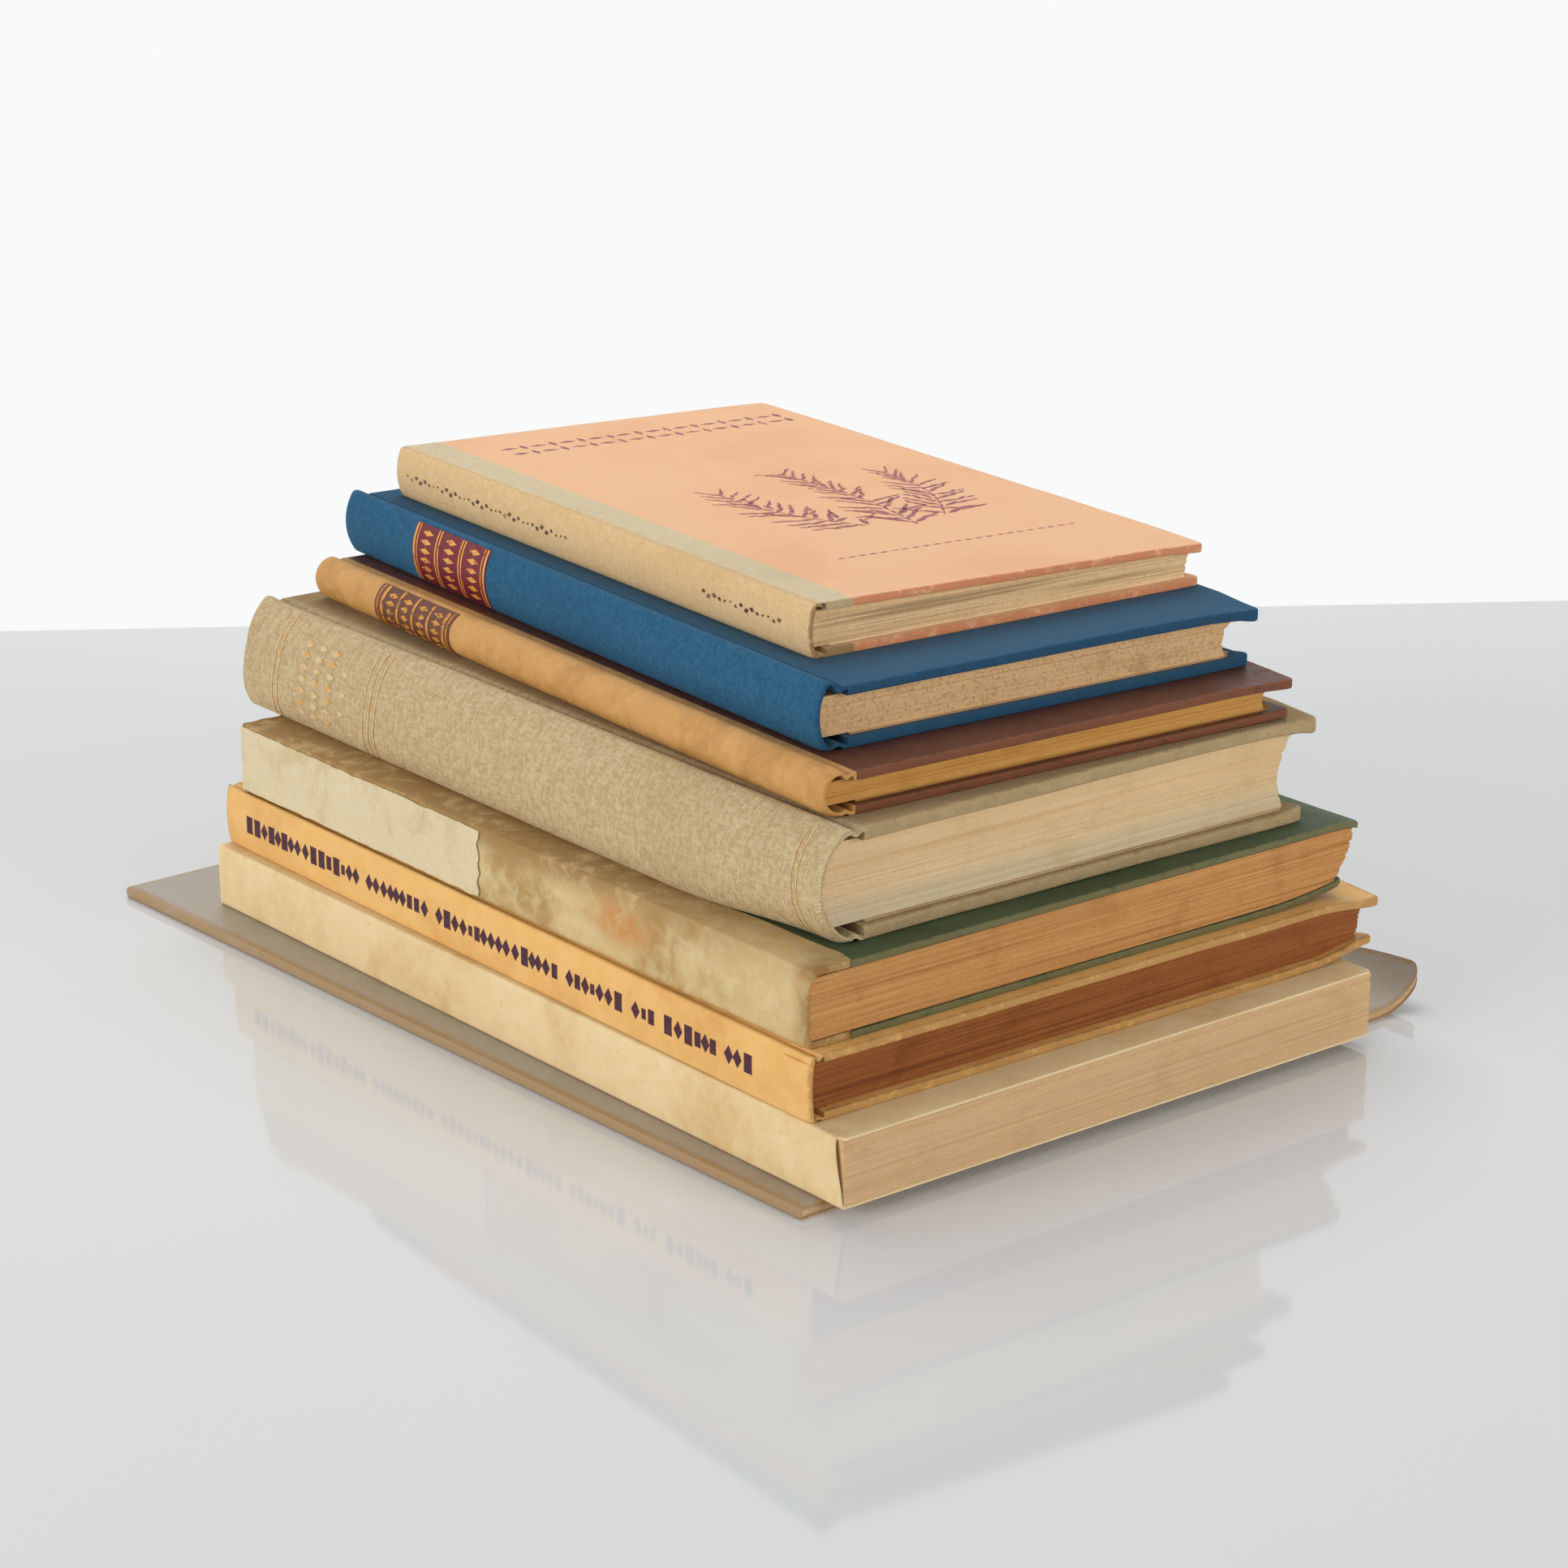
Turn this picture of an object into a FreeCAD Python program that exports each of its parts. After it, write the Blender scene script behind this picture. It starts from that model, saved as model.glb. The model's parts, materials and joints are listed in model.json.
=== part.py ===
# A stack of eight old books lying flat on one another, the largest and thinnest at the bottom.
#
# From the floor up: a grey booklet in a card wrapper, a thick cream paperback, a yellow book with flat
# spine, a worn green book with a paper spine, a thick linen book with a round spine, a thin book with a
# tan leather spine and brown sides, a blue cloth book, and a peach book with a cloth spine.
#
# Each book is modelled in its own frame, in millimetres: X runs from the spine to the fore-edge, Y from
# the tail to the head, Z up from the face that it lies on. X is 0 at the spine's shoulder, and a round
# spine bulges to the negative side. Each book is then turned about its tail spine corner and set on the
# one below. The stack's frame has X and Y along the bottom booklet's edges and its origin on the floor,
# under the middle of the whole stack.
#
# The peach book's front cover lies free on top, so it is the one cover that can open. It turns about the
# line where the cloth leaves the spine, at the level of the cover's outer face.

import FreeCAD
import Part
import math
import os

Vector = FreeCAD.Vector

# Leaves and covers, alike in all the books
ENDPAPER = 0.3
TURN_IN = 14.0
PASTEDOWN_MARGIN = 3.0
INLAY = 0.8
GLUE_GAP = 0.1
CORNER_RADIUS = 2.0
EDGE_RADIUS = 0.7
LABEL = 0.25
SPINE_STEPS = 14

# Grey booklet: a few sheets in a card wrapper, its fore-edge curled up
GREY_LENGTH = 332.0
GREY_WIDTH = 244.0
GREY_PAGES = 2.2
GREY_CARD = 0.5
GREY_CURL_RADIUS = 40.0
GREY_CURL_LENGTH = 18.0

# Cream paperback: pages cut flush with a card wrapper
CREAM_LENGTH = 306.5
CREAM_WIDTH = 199.0
CREAM_HEIGHT = 19.9
CREAM_CARD = 0.6
CREAM_CREASE_RADIUS = 1.4
CREAM_PLACE = Vector(7.6, -7.6, 0)
CREAM_YAW = -1.27

# Yellow book: full paper binding with a flat spine
YELLOW_LENGTH = 295.0
YELLOW_WIDTH = 209.5
YELLOW_HEIGHT = 18.6
YELLOW_BOARD = 1.7
YELLOW_PAPER = 0.3
YELLOW_BULGE = 0.9
YELLOW_PROUD = 0.0
YELLOW_JOINT = 4.5
YELLOW_GROOVE = 0.7
YELLOW_TAIL_SQUARE = 3.2
YELLOW_FORE_SQUARE = 4.5
YELLOW_LEAN = 2.5
YELLOW_FORE_CURVE = 0.6
YELLOW_HOLLOW = 0.7
YELLOW_PLACE = Vector(8.2, 5.2, 0)
YELLOW_YAW = -2.06

# Green book: thin boards nearly flush with pages that are rolled at the fore-edge, and a paper spine
GREEN_LENGTH = 282.5
GREEN_WIDTH = 205.5
GREEN_HEIGHT = 21.9
GREEN_BOARD = 1.3
GREEN_PAPER = 0.35
GREEN_STRIP = 15.0
GREEN_SQUARE = 0.8
GREEN_FORE_SLANT = 6.5
GREEN_FORE_BELLY = 1.6
GREEN_LIFT_START = 166.0
GREEN_LIFT_RADIUS = 205.0
GREEN_DROOP_LENGTH = 9.0
GREEN_DROOP_RADIUS = 30.0
GREEN_PATCH_LENGTH = 130.0
GREEN_PATCH_MARGIN = 1.0
GREEN_PLACE = Vector(11.2, 9.4, 0)
GREEN_YAW = -1.75

# Linen book: the thickest, full linen binding with a round spine and heavy boards
LINEN_LENGTH = 291.5
LINEN_WIDTH = 171.0
LINEN_HEIGHT = 31.7
LINEN_BOARD = 2.9
LINEN_CLOTH = 0.5
LINEN_BULGE = 9.0
LINEN_PROUD = 0.9
LINEN_JOINT = 7.0
LINEN_GROOVE = 1.3
LINEN_TAIL_SQUARE = 4.2
LINEN_FORE_SQUARE = 5.5
LINEN_LEAN = 4.8
LINEN_FORE_CURVE = 4.0
LINEN_HOLLOW = 1.6
LINEN_PLACE = Vector(31.1, 18.9, 0)
LINEN_YAW = -2.3

# Tan book: thin, a leather spine and brown paper sides
TAN_LENGTH = 273.5
TAN_WIDTH = 160.7
TAN_HEIGHT = 11.9
TAN_BOARD = 1.7
TAN_COVERING = 0.4
TAN_BULGE = 5.0
TAN_PROUD = 1.6
TAN_JOINT = 6.0
TAN_GROOVE = 0.9
TAN_STRIP = 7.0
TAN_TAIL_SQUARE = 3.6
TAN_FORE_SQUARE = 7.0
TAN_LEAN = 1.6
TAN_FORE_CURVE = 1.2
TAN_HOLLOW = 0.8
TAN_LABEL_LENGTH = 44.5
TAN_LABEL_FROM_HEAD = 37.0
TAN_PLACE = Vector(36.4, 28.5, 0)
TAN_YAW = -5.0

# Blue book: full cloth binding with a round spine
BLUE_LENGTH = 262.5
BLUE_WIDTH = 149.6
BLUE_HEIGHT = 17.7
BLUE_BOARD = 2.1
BLUE_CLOTH = 0.4
BLUE_BULGE = 3.2
BLUE_PROUD = 2.1
BLUE_JOINT = 7.5
BLUE_GROOVE = 1.2
BLUE_TAIL_SQUARE = 4.0
BLUE_FORE_SQUARE = 6.5
BLUE_LEAN = 3.5
BLUE_FORE_CURVE = 2.4
BLUE_HOLLOW = 1.0
BLUE_LABEL_LENGTH = 44.5
BLUE_LABEL_FROM_HEAD = 44.0
BLUE_PLACE = Vector(47.4, 45.5, 0)
BLUE_YAW = -5.87

# Peach book: thin boards with peach paper sides, a cloth spine, thicker at the spine than at the fore-edge
PEACH_LENGTH = 228.5
PEACH_WIDTH = 137.7
PEACH_SPINE_HEIGHT = 15.7
PEACH_FORE_HEIGHT = 12.8
PEACH_BOARD = 1.6
PEACH_COVERING = 0.35
PEACH_BULGE = 1.8
PEACH_JOINT = 4.2
PEACH_GROOVE = 0.3
PEACH_HINGE = 3.0
PEACH_HINGE_RISE = 0.15
PEACH_HINGE_GAP = 0.3
PEACH_COVER_GAP = 0.2
PEACH_STRIP = 13.5
PEACH_TAIL_SQUARE = 2.8
PEACH_FORE_SQUARE = 3.6
PEACH_LEAN = 1.4
PEACH_FORE_CURVE = 0.5
PEACH_HOLLOW = 0.6
PEACH_PLACE = Vector(64.3, 69.7, 0)
PEACH_YAW = -5.65

nodes = {}


class Case:
    """The sizes of one book that is bound in boards, and what follows from them."""

    def __init__(self, length, width, height, board, cover, bulge, proud, joint, groove,
                 tail_square, fore_square, lean, fore_curve, hollow):
        self.length, self.width, self.height = length, width, height
        self.board, self.cover = board, cover
        self.bulge, self.joint, self.groove = bulge, joint, groove
        self.tail_square, self.fore_square = tail_square, fore_square
        self.lean, self.fore_curve, self.hollow = lean, fore_curve, hollow
        self.depth = board + 2 * cover
        self.spine_height = height + proud
        self.front_width = width + lean
        half = self.spine_height / 2
        self.spine_radius = (half * half + bulge * bulge) / (2 * bulge)
        self.spine_centre = self.spine_radius - bulge
        self.spine_angle = math.asin(half / self.spine_radius)
        self.pages_low = self.depth + ENDPAPER
        self.pages_high = height - self.depth - ENDPAPER
        self.page_radius = self.spine_radius - cover - GLUE_GAP - INLAY - hollow

    def page_back(self, z):
        """X of the pages' round back at height z."""
        rise = z - self.spine_height / 2
        return self.spine_centre - math.sqrt(self.page_radius ** 2 - rise ** 2)

    def spine_point(self, angle, inset):
        """A point on the round spine, inset from its outer face, at an angle above the middle."""
        radius = self.spine_radius - inset
        x = self.spine_centre - radius * math.cos(angle)
        return Vector(x, 0, self.spine_height / 2 + radius * math.sin(angle))


def box(x0, x1, y0, y1, z0, z1):
    return Part.makeBox(x1 - x0, y1 - y0, z1 - z0, Vector(x0, y0, z0))


def extruded(edges, y0, y1):
    """The solid of a closed outline in the XZ plane, from y0 to y1."""
    face = Part.Face(Part.Wire(edges))
    solid = face.extrude(Vector(0, y1 - y0, 0))
    solid.translate(Vector(0, y0, 0))
    return solid


def line(a, b):
    return Part.LineSegment(a, b).toShape()


def arc(a, middle, b):
    return Part.Arc(a, middle, b).toShape()


def point(x, z):
    return Vector(x, 0, z)


def lies_in(edge, axis, value):
    """True if both ends of an edge have that coordinate."""
    return all(abs(getattr(v.Point, axis) - value) < 1e-4 for v in edge.Vertexes)


def rounded_slab(x0, x1, y0, y1, z0, z1, corner, edge):
    """A slab with round corners and soft edges on all sides but the spine side, at x0."""
    slab = box(x0, x1, y0, y1, z0, z1)
    corners = [e for e in slab.Edges if lies_in(e, "x", x1) and not lies_in(e, "z", z0) and not lies_in(e, "z", z1)]
    slab = slab.makeFillet(corner, corners)
    if edge > 0:
        rims = [e for e in slab.Edges if (lies_in(e, "z", z0) or lies_in(e, "z", z1)) and not lies_in(e, "x", x0)]
        slab = slab.makeFillet(edge, rims)
    return slab


def bare_board(case, fore_edge, z0):
    """The board inside a cover whose outer faces start at z0."""
    t = case.cover
    return rounded_slab(case.joint, fore_edge - t, t, case.length - t, z0 + t, z0 + t + case.board,
                        CORNER_RADIUS - t, 0)


def skin(case, x0, x1, fore_edge, z0, inner_up):
    """The covering of a board from x0 to x1, turned in over its head, tail and fore-edge.

    inner_up says which face is the inner one, with the window that the endpaper fills.
    """
    z1 = z0 + case.depth
    slab = rounded_slab(case.joint, fore_edge, 0, case.length, z0, z1, CORNER_RADIUS, EDGE_RADIUS)
    slab = slab.common(box(x0, x1, 0, case.length, z0, z1))
    inner = (z1 - case.cover, z1) if inner_up else (z0, z0 + case.cover)
    window = box(case.joint, fore_edge - TURN_IN, TURN_IN, case.length - TURN_IN, *inner)
    return slab.cut(bare_board(case, fore_edge, z0)).cut(window)


def spine_path(case, inset, top_groove=True):
    """Control points of the covering's path from the front board round the spine to the back board."""
    steps = [case.spine_angle * (1 - 2 * k / SPINE_STEPS) for k in range(SPINE_STEPS + 1)]
    round_back = [case.spine_point(a, inset) for a in steps]
    groove = case.groove if top_groove else 0
    high, low, crest = case.height - inset, inset, case.spine_height - inset
    front = [point(case.joint, high), point(0.85 * case.joint, high),
             point(0.6 * case.joint, high - groove), point(0.3 * case.joint, crest)]
    back = [point(0.3 * case.joint, low), point(0.6 * case.joint, low + case.groove),
            point(0.85 * case.joint, low), point(case.joint, low)]
    return front + round_back + back


def spine_band(case, outer, inner, y0, y1):
    """The solid between two paths round the spine."""
    edges = []
    for path in (outer, inner):
        curve = Part.BSplineCurve()
        curve.buildFromPoles(path, False, 3)
        edges.append(curve.toShape())
    edges.append(line(outer[0], inner[0]))
    edges.append(line(outer[-1], inner[-1]))
    return extruded(Part.sortEdges(edges)[0], y0, y1)


def spine_sector(case, inset, thickness, reach, y0, y1):
    """A curved strip parallel to the spine, inset from its outer face, over a share of its arc."""
    angle = case.spine_angle * reach
    outer = [case.spine_point(a, inset) for a in (angle, 0, -angle)]
    inner = [case.spine_point(a, inset + thickness) for a in (-angle, 0, angle)]
    return extruded([arc(*outer), line(outer[2], inner[0]), arc(*inner), line(inner[2], outer[0])], y0, y1)


def spine_inlay(case):
    """The card strip inside the spine's covering."""
    return spine_sector(case, case.cover + GLUE_GAP, INLAY, 0.8, case.tail_square, case.length - case.tail_square)


def spine_label(case, length, from_head):
    """A label pasted round the spine, close under the head."""
    top = case.length - from_head
    return spine_sector(case, -LABEL - GLUE_GAP, LABEL, 0.86, top - length, top)


def text_block(case):
    """The pages: round at the back, hollow at the fore-edge."""
    low, high, middle = case.pages_low, case.pages_high, case.spine_height / 2
    fore = case.width - case.fore_square
    back = [point(case.page_back(z), z) for z in (high, middle, low)]
    front = [point(fore, low), point(fore + case.lean / 2 - case.fore_curve, (low + high) / 2),
             point(fore + case.lean, high)]
    outline = [arc(*back), line(back[2], front[0]), arc(*front), line(front[2], back[0])]
    return extruded(outline, case.tail_square, case.length - case.tail_square)


def endpaper(case, fore_edge, page_fore, page_face, board_face):
    """The folded sheet between pages and board: a flyleaf, a pastedown, and its fill between the turn-ins."""
    fold = case.joint + PASTEDOWN_MARGIN
    z = sorted((page_face, board_face))
    step = ENDPAPER / 2 if board_face > page_face else -ENDPAPER / 2
    tail, head = case.tail_square, case.length - case.tail_square
    leaf = box(fold, page_fore, tail, head, *sorted((page_face, page_face + step)))
    margin = PASTEDOWN_MARGIN
    paste = box(fold, fore_edge - margin, margin, case.length - margin,
                *sorted((page_face + step, page_face + 2 * step)))
    fill = box(fold, fore_edge - TURN_IN, TURN_IN, case.length - TURN_IN, *z)
    return leaf.fuse(paste).fuse(fill).removeSplitter()


def add_case_parts(name, case):
    """The pieces that every book in boards has: pages, boards, endpapers and the spine's inlay."""
    top = case.height - case.depth
    fore = case.width - case.fore_square
    nodes[name + "_text_block"] = text_block(case)
    nodes[name + "_front_board"] = bare_board(case, case.front_width, top)
    nodes[name + "_back_board"] = bare_board(case, case.width, 0)
    nodes[name + "_front_endpaper"] = endpaper(case, case.front_width, fore + case.lean, case.pages_high,
                                               top + case.cover)
    nodes[name + "_back_endpaper"] = endpaper(case, case.width, fore, case.pages_low, case.depth - case.cover)
    nodes[name + "_spine_inlay"] = spine_inlay(case)


def full_cover(case):
    """One covering over both boards and the spine."""
    front = skin(case, case.joint, case.front_width, case.front_width, case.height - case.depth, False)
    back = skin(case, case.joint, case.width, case.width, 0, True)
    band = spine_band(case, spine_path(case, 0), spine_path(case, case.cover), 0, case.length)
    return front.fuse(back).fuse(band).removeSplitter()


def quarter_spine(case, strip):
    """A covering over the spine and a strip of both boards."""
    front = skin(case, case.joint, strip, case.front_width, case.height - case.depth, False)
    back = skin(case, case.joint, strip, case.width, 0, True)
    band = spine_band(case, spine_path(case, 0), spine_path(case, case.cover), 0, case.length)
    return front.fuse(back).fuse(band).removeSplitter()


def curled_sheet(x0, flat_end, radius, sweep, low, high, y0, y1):
    """A sheet between two depths above a flat underside that curls up past flat_end, on one centre."""
    edges = []
    ends = []
    for depth in (low, high):
        r = radius - depth
        turn = [point(flat_end + r * math.sin(a), radius - r * math.cos(a)) for a in (0, sweep / 2, sweep)]
        edges += [line(point(x0, depth), turn[0]), arc(*turn)]
        ends.append((point(x0, depth), turn[2]))
    edges.append(line(ends[0][0], ends[1][0]))
    edges.append(line(ends[0][1], ends[1][1]))
    return extruded(Part.sortEdges(edges)[0], y0, y1)


def place_book(names, corner, yaw, height):
    """Sets a book's pieces on the stack: turned about the tail spine corner and lifted to its height."""
    turn = FreeCAD.Rotation(Vector(0, 0, 1), yaw)
    where = FreeCAD.Placement(corner + Vector(0, 0, height), turn)
    for name in names:
        nodes[name].Placement = where.multiply(nodes[name].Placement)


def grey_booklet():
    """The wrapper is one folded card round the pages, cut flush on three sides."""
    height = GREY_PAGES + 2 * GREY_CARD
    flat = GREY_WIDTH - GREY_CURL_LENGTH
    sweep = GREY_CURL_LENGTH / GREY_CURL_RADIUS
    whole = curled_sheet(0, flat, GREY_CURL_RADIUS, sweep, 0, height, 0, GREY_LENGTH)
    fold = [e for e in whole.Edges if lies_in(e, "x", 0) and (lies_in(e, "z", 0) or lies_in(e, "z", height))]
    whole = whole.makeFillet(GREY_CARD, fold)
    pages = curled_sheet(GREY_CARD, flat, GREY_CURL_RADIUS, sweep, GREY_CARD, GREY_CARD + GREY_PAGES,
                         0, GREY_LENGTH)
    nodes["grey_pages"] = pages
    nodes["grey_wrapper"] = whole.cut(pages)
    return height


def cream_paperback():
    """A glued block of pages in a card wrapper, all cut flush at head, tail and fore-edge."""
    whole = box(0, CREAM_WIDTH, 0, CREAM_LENGTH, 0, CREAM_HEIGHT)
    creases = [e for e in whole.Edges
               if lies_in(e, "x", 0) and (lies_in(e, "z", 0) or lies_in(e, "z", CREAM_HEIGHT))]
    whole = whole.makeFillet(CREAM_CREASE_RADIUS, creases)
    pages = box(CREAM_CARD, CREAM_WIDTH, 0, CREAM_LENGTH, CREAM_CARD, CREAM_HEIGHT - CREAM_CARD)
    inside = [e for e in pages.Edges if lies_in(e, "x", CREAM_CARD)
              and (lies_in(e, "z", CREAM_CARD) or lies_in(e, "z", CREAM_HEIGHT - CREAM_CARD))]
    pages = pages.makeFillet(CREAM_CREASE_RADIUS - CREAM_CARD, inside)
    nodes["cream_text_block"] = pages
    nodes["cream_wrapper"] = whole.cut(pages)
    return CREAM_HEIGHT


def yellow_book():
    case = Case(YELLOW_LENGTH, YELLOW_WIDTH, YELLOW_HEIGHT, YELLOW_BOARD, YELLOW_PAPER, YELLOW_BULGE,
                YELLOW_PROUD, YELLOW_JOINT, YELLOW_GROOVE, YELLOW_TAIL_SQUARE, YELLOW_FORE_SQUARE,
                YELLOW_LEAN, YELLOW_FORE_CURVE, YELLOW_HOLLOW)
    add_case_parts("yellow", case)
    nodes["yellow_cover_paper"] = full_cover(case)
    return case.height


def green_layer(low, high, x0, x1, y0, y1, front):
    """A layer of the green book's cover between two depths from its outer face.

    The back cover lifts towards the fore-edge, and the front cover droops at it.
    """
    start = GREEN_WIDTH - GREEN_DROOP_LENGTH if front else GREEN_LIFT_START
    radius = GREEN_DROOP_RADIUS if front else GREEN_LIFT_RADIUS
    flat = box(x0, min(x1, start), y0, y1, low, high)
    if x1 > start:
        flat = curled_sheet(x0, start, radius, (x1 - start) / radius, low, high, y0, y1)
    if front:
        flat = flat.mirror(Vector(0, 0, GREEN_HEIGHT / 2), Vector(0, 0, 1))
    return flat


def green_side(name, front):
    """A board with its green paper side, and the spine paper's strip on it."""
    t, length = GREEN_PAPER, GREEN_LENGTH
    depth = GREEN_BOARD + 2 * t
    fore = GREEN_WIDTH if front else GREEN_WIDTH - GREEN_FORE_SLANT
    board = green_layer(t, t + GREEN_BOARD, t, fore - t, t, length - t, front)
    whole = green_layer(0, depth, GREEN_STRIP, fore, 0, length, front)
    window = green_layer(depth - t, depth, GREEN_STRIP, fore - TURN_IN, TURN_IN, length - TURN_IN, front)
    strip = green_layer(0, depth, 0, GREEN_STRIP, 0, length, front)
    strip_window = green_layer(depth - t, depth, t, GREEN_STRIP, TURN_IN, length - TURN_IN, front)
    sheet = green_layer(depth, depth + ENDPAPER, t, fore - PASTEDOWN_MARGIN, PASTEDOWN_MARGIN,
                        length - PASTEDOWN_MARGIN, front)
    fill = green_layer(depth - t, depth, t, fore - TURN_IN, TURN_IN, length - TURN_IN, front)
    nodes[name + "_board"] = board
    nodes[name + "_paper"] = whole.cut(board).cut(window)
    nodes[name + "_endpaper"] = sheet.fuse(fill).removeSplitter()
    return strip.cut(board).cut(strip_window)


def green_pages():
    """The pages lie on the lifted back cover and under the drooping front cover."""
    inset = GREEN_BOARD + 2 * GREEN_PAPER + ENDPAPER
    back, fore = GREEN_PAPER, GREEN_WIDTH - PASTEDOWN_MARGIN
    low_fore = fore - GREEN_FORE_SLANT
    low_radius, high_radius = GREEN_LIFT_RADIUS - inset, GREEN_DROOP_RADIUS - inset
    top_start = GREEN_WIDTH - GREEN_DROOP_LENGTH
    low_sweep = (low_fore - GREEN_LIFT_START) / GREEN_LIFT_RADIUS
    high_sweep = (fore - top_start) / GREEN_DROOP_RADIUS
    rise = [point(GREEN_LIFT_START + low_radius * math.sin(a), GREEN_LIFT_RADIUS - low_radius * math.cos(a))
            for a in (0, low_sweep / 2, low_sweep)]
    level = GREEN_HEIGHT - GREEN_DROOP_RADIUS
    fall = [point(top_start + high_radius * math.sin(a), level + high_radius * math.cos(a))
            for a in (high_sweep, high_sweep / 2, 0)]
    belly = (rise[2] + fall[0]) / 2 + Vector(GREEN_FORE_BELLY, 0, 0)
    corners = [point(back, GREEN_HEIGHT - inset), point(back, inset)]
    outline = [line(corners[1], rise[0]), arc(*rise), arc(rise[2], belly, fall[0]), arc(*fall),
               line(fall[2], corners[0]), line(corners[0], corners[1])]
    return extruded(outline, GREEN_SQUARE, GREEN_LENGTH - GREEN_SQUARE)


def green_book():
    """The paper spine is glued straight to the pages, and a white patch is pasted on it near the head."""
    front_strip = green_side("green_front", True)
    back_strip = green_side("green_back", False)
    spine = box(0, GREEN_PAPER, 0, GREEN_LENGTH, 0, GREEN_HEIGHT)
    nodes["green_text_block"] = green_pages()
    nodes["green_spine_paper"] = spine.fuse(front_strip).fuse(back_strip).removeSplitter()
    head = GREEN_LENGTH - GREEN_PATCH_MARGIN
    nodes["green_spine_patch"] = box(-LABEL, 0, head - GREEN_PATCH_LENGTH, head,
                                     GREEN_PATCH_MARGIN, GREEN_HEIGHT - 2 * GREEN_PATCH_MARGIN)
    return GREEN_HEIGHT


def linen_book():
    case = Case(LINEN_LENGTH, LINEN_WIDTH, LINEN_HEIGHT, LINEN_BOARD, LINEN_CLOTH, LINEN_BULGE, LINEN_PROUD,
                LINEN_JOINT, LINEN_GROOVE, LINEN_TAIL_SQUARE, LINEN_FORE_SQUARE, LINEN_LEAN,
                LINEN_FORE_CURVE, LINEN_HOLLOW)
    add_case_parts("linen", case)
    nodes["linen_cover_cloth"] = full_cover(case)
    return case.height


def tan_book():
    case = Case(TAN_LENGTH, TAN_WIDTH, TAN_HEIGHT, TAN_BOARD, TAN_COVERING, TAN_BULGE, TAN_PROUD, TAN_JOINT,
                TAN_GROOVE, TAN_TAIL_SQUARE, TAN_FORE_SQUARE, TAN_LEAN, TAN_FORE_CURVE, TAN_HOLLOW)
    add_case_parts("tan", case)
    nodes["tan_spine_leather"] = quarter_spine(case, TAN_STRIP)
    nodes["tan_spine_label"] = spine_label(case, TAN_LABEL_LENGTH, TAN_LABEL_FROM_HEAD)
    nodes["tan_front_paper"] = skin(case, TAN_STRIP, case.front_width, case.front_width,
                                    case.height - case.depth, False)
    nodes["tan_back_paper"] = skin(case, TAN_STRIP, case.width, case.width, 0, True)
    return case.height


def blue_book():
    case = Case(BLUE_LENGTH, BLUE_WIDTH, BLUE_HEIGHT, BLUE_BOARD, BLUE_CLOTH, BLUE_BULGE, BLUE_PROUD,
                BLUE_JOINT, BLUE_GROOVE, BLUE_TAIL_SQUARE, BLUE_FORE_SQUARE, BLUE_LEAN, BLUE_FORE_CURVE,
                BLUE_HOLLOW)
    add_case_parts("blue", case)
    nodes["blue_cover_cloth"] = full_cover(case)
    nodes["blue_spine_label"] = spine_label(case, BLUE_LABEL_LENGTH, BLUE_LABEL_FROM_HEAD)
    return case.height


def peach_slope():
    """How far the closed front cover leans down to the fore-edge, in radians."""
    reach = PEACH_WIDTH + PEACH_LEAN - PEACH_HINGE
    return math.atan((PEACH_SPINE_HEIGHT - PEACH_FORE_HEIGHT) / reach)


def lean_back(shape):
    """Turns a front cover piece, made level, down on the sloping pages about the hinge line."""
    hinge = Vector(PEACH_HINGE, 0, PEACH_SPINE_HEIGHT)
    shape.rotate(hinge, Vector(0, 1, 0), math.degrees(peach_slope()))
    return shape


def leaned_point(x, z):
    """The place of a point of the level front cover once it is leaned."""
    slope = peach_slope()
    dx, dz = x - PEACH_HINGE, z - PEACH_SPINE_HEIGHT
    return point(PEACH_HINGE + dx * math.cos(slope) + dz * math.sin(slope),
                 PEACH_SPINE_HEIGHT - dx * math.sin(slope) + dz * math.cos(slope))


def peach_pages(case):
    """Pages whose top face follows the sloping front cover."""
    low, fore = case.pages_low, case.width - case.fore_square
    high = case.pages_high - PEACH_COVER_GAP
    top = [leaned_point(case.joint + PASTEDOWN_MARGIN, high), leaned_point(fore + case.lean, high)]
    back_top = point(case.page_back(top[0].z), top[0].z)
    back = [back_top, point(case.page_back(case.spine_height / 2), case.spine_height / 2),
            point(case.page_back(low), low)]
    hollow = point((fore + top[1].x) / 2 - case.fore_curve, (low + top[1].z) / 2)
    outline = [arc(*back), line(back[2], point(fore, low)), arc(point(fore, low), hollow, top[1]),
               line(top[1], top[0]), line(top[0], back_top)]
    return extruded(outline, case.tail_square, case.length - case.tail_square)


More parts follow.
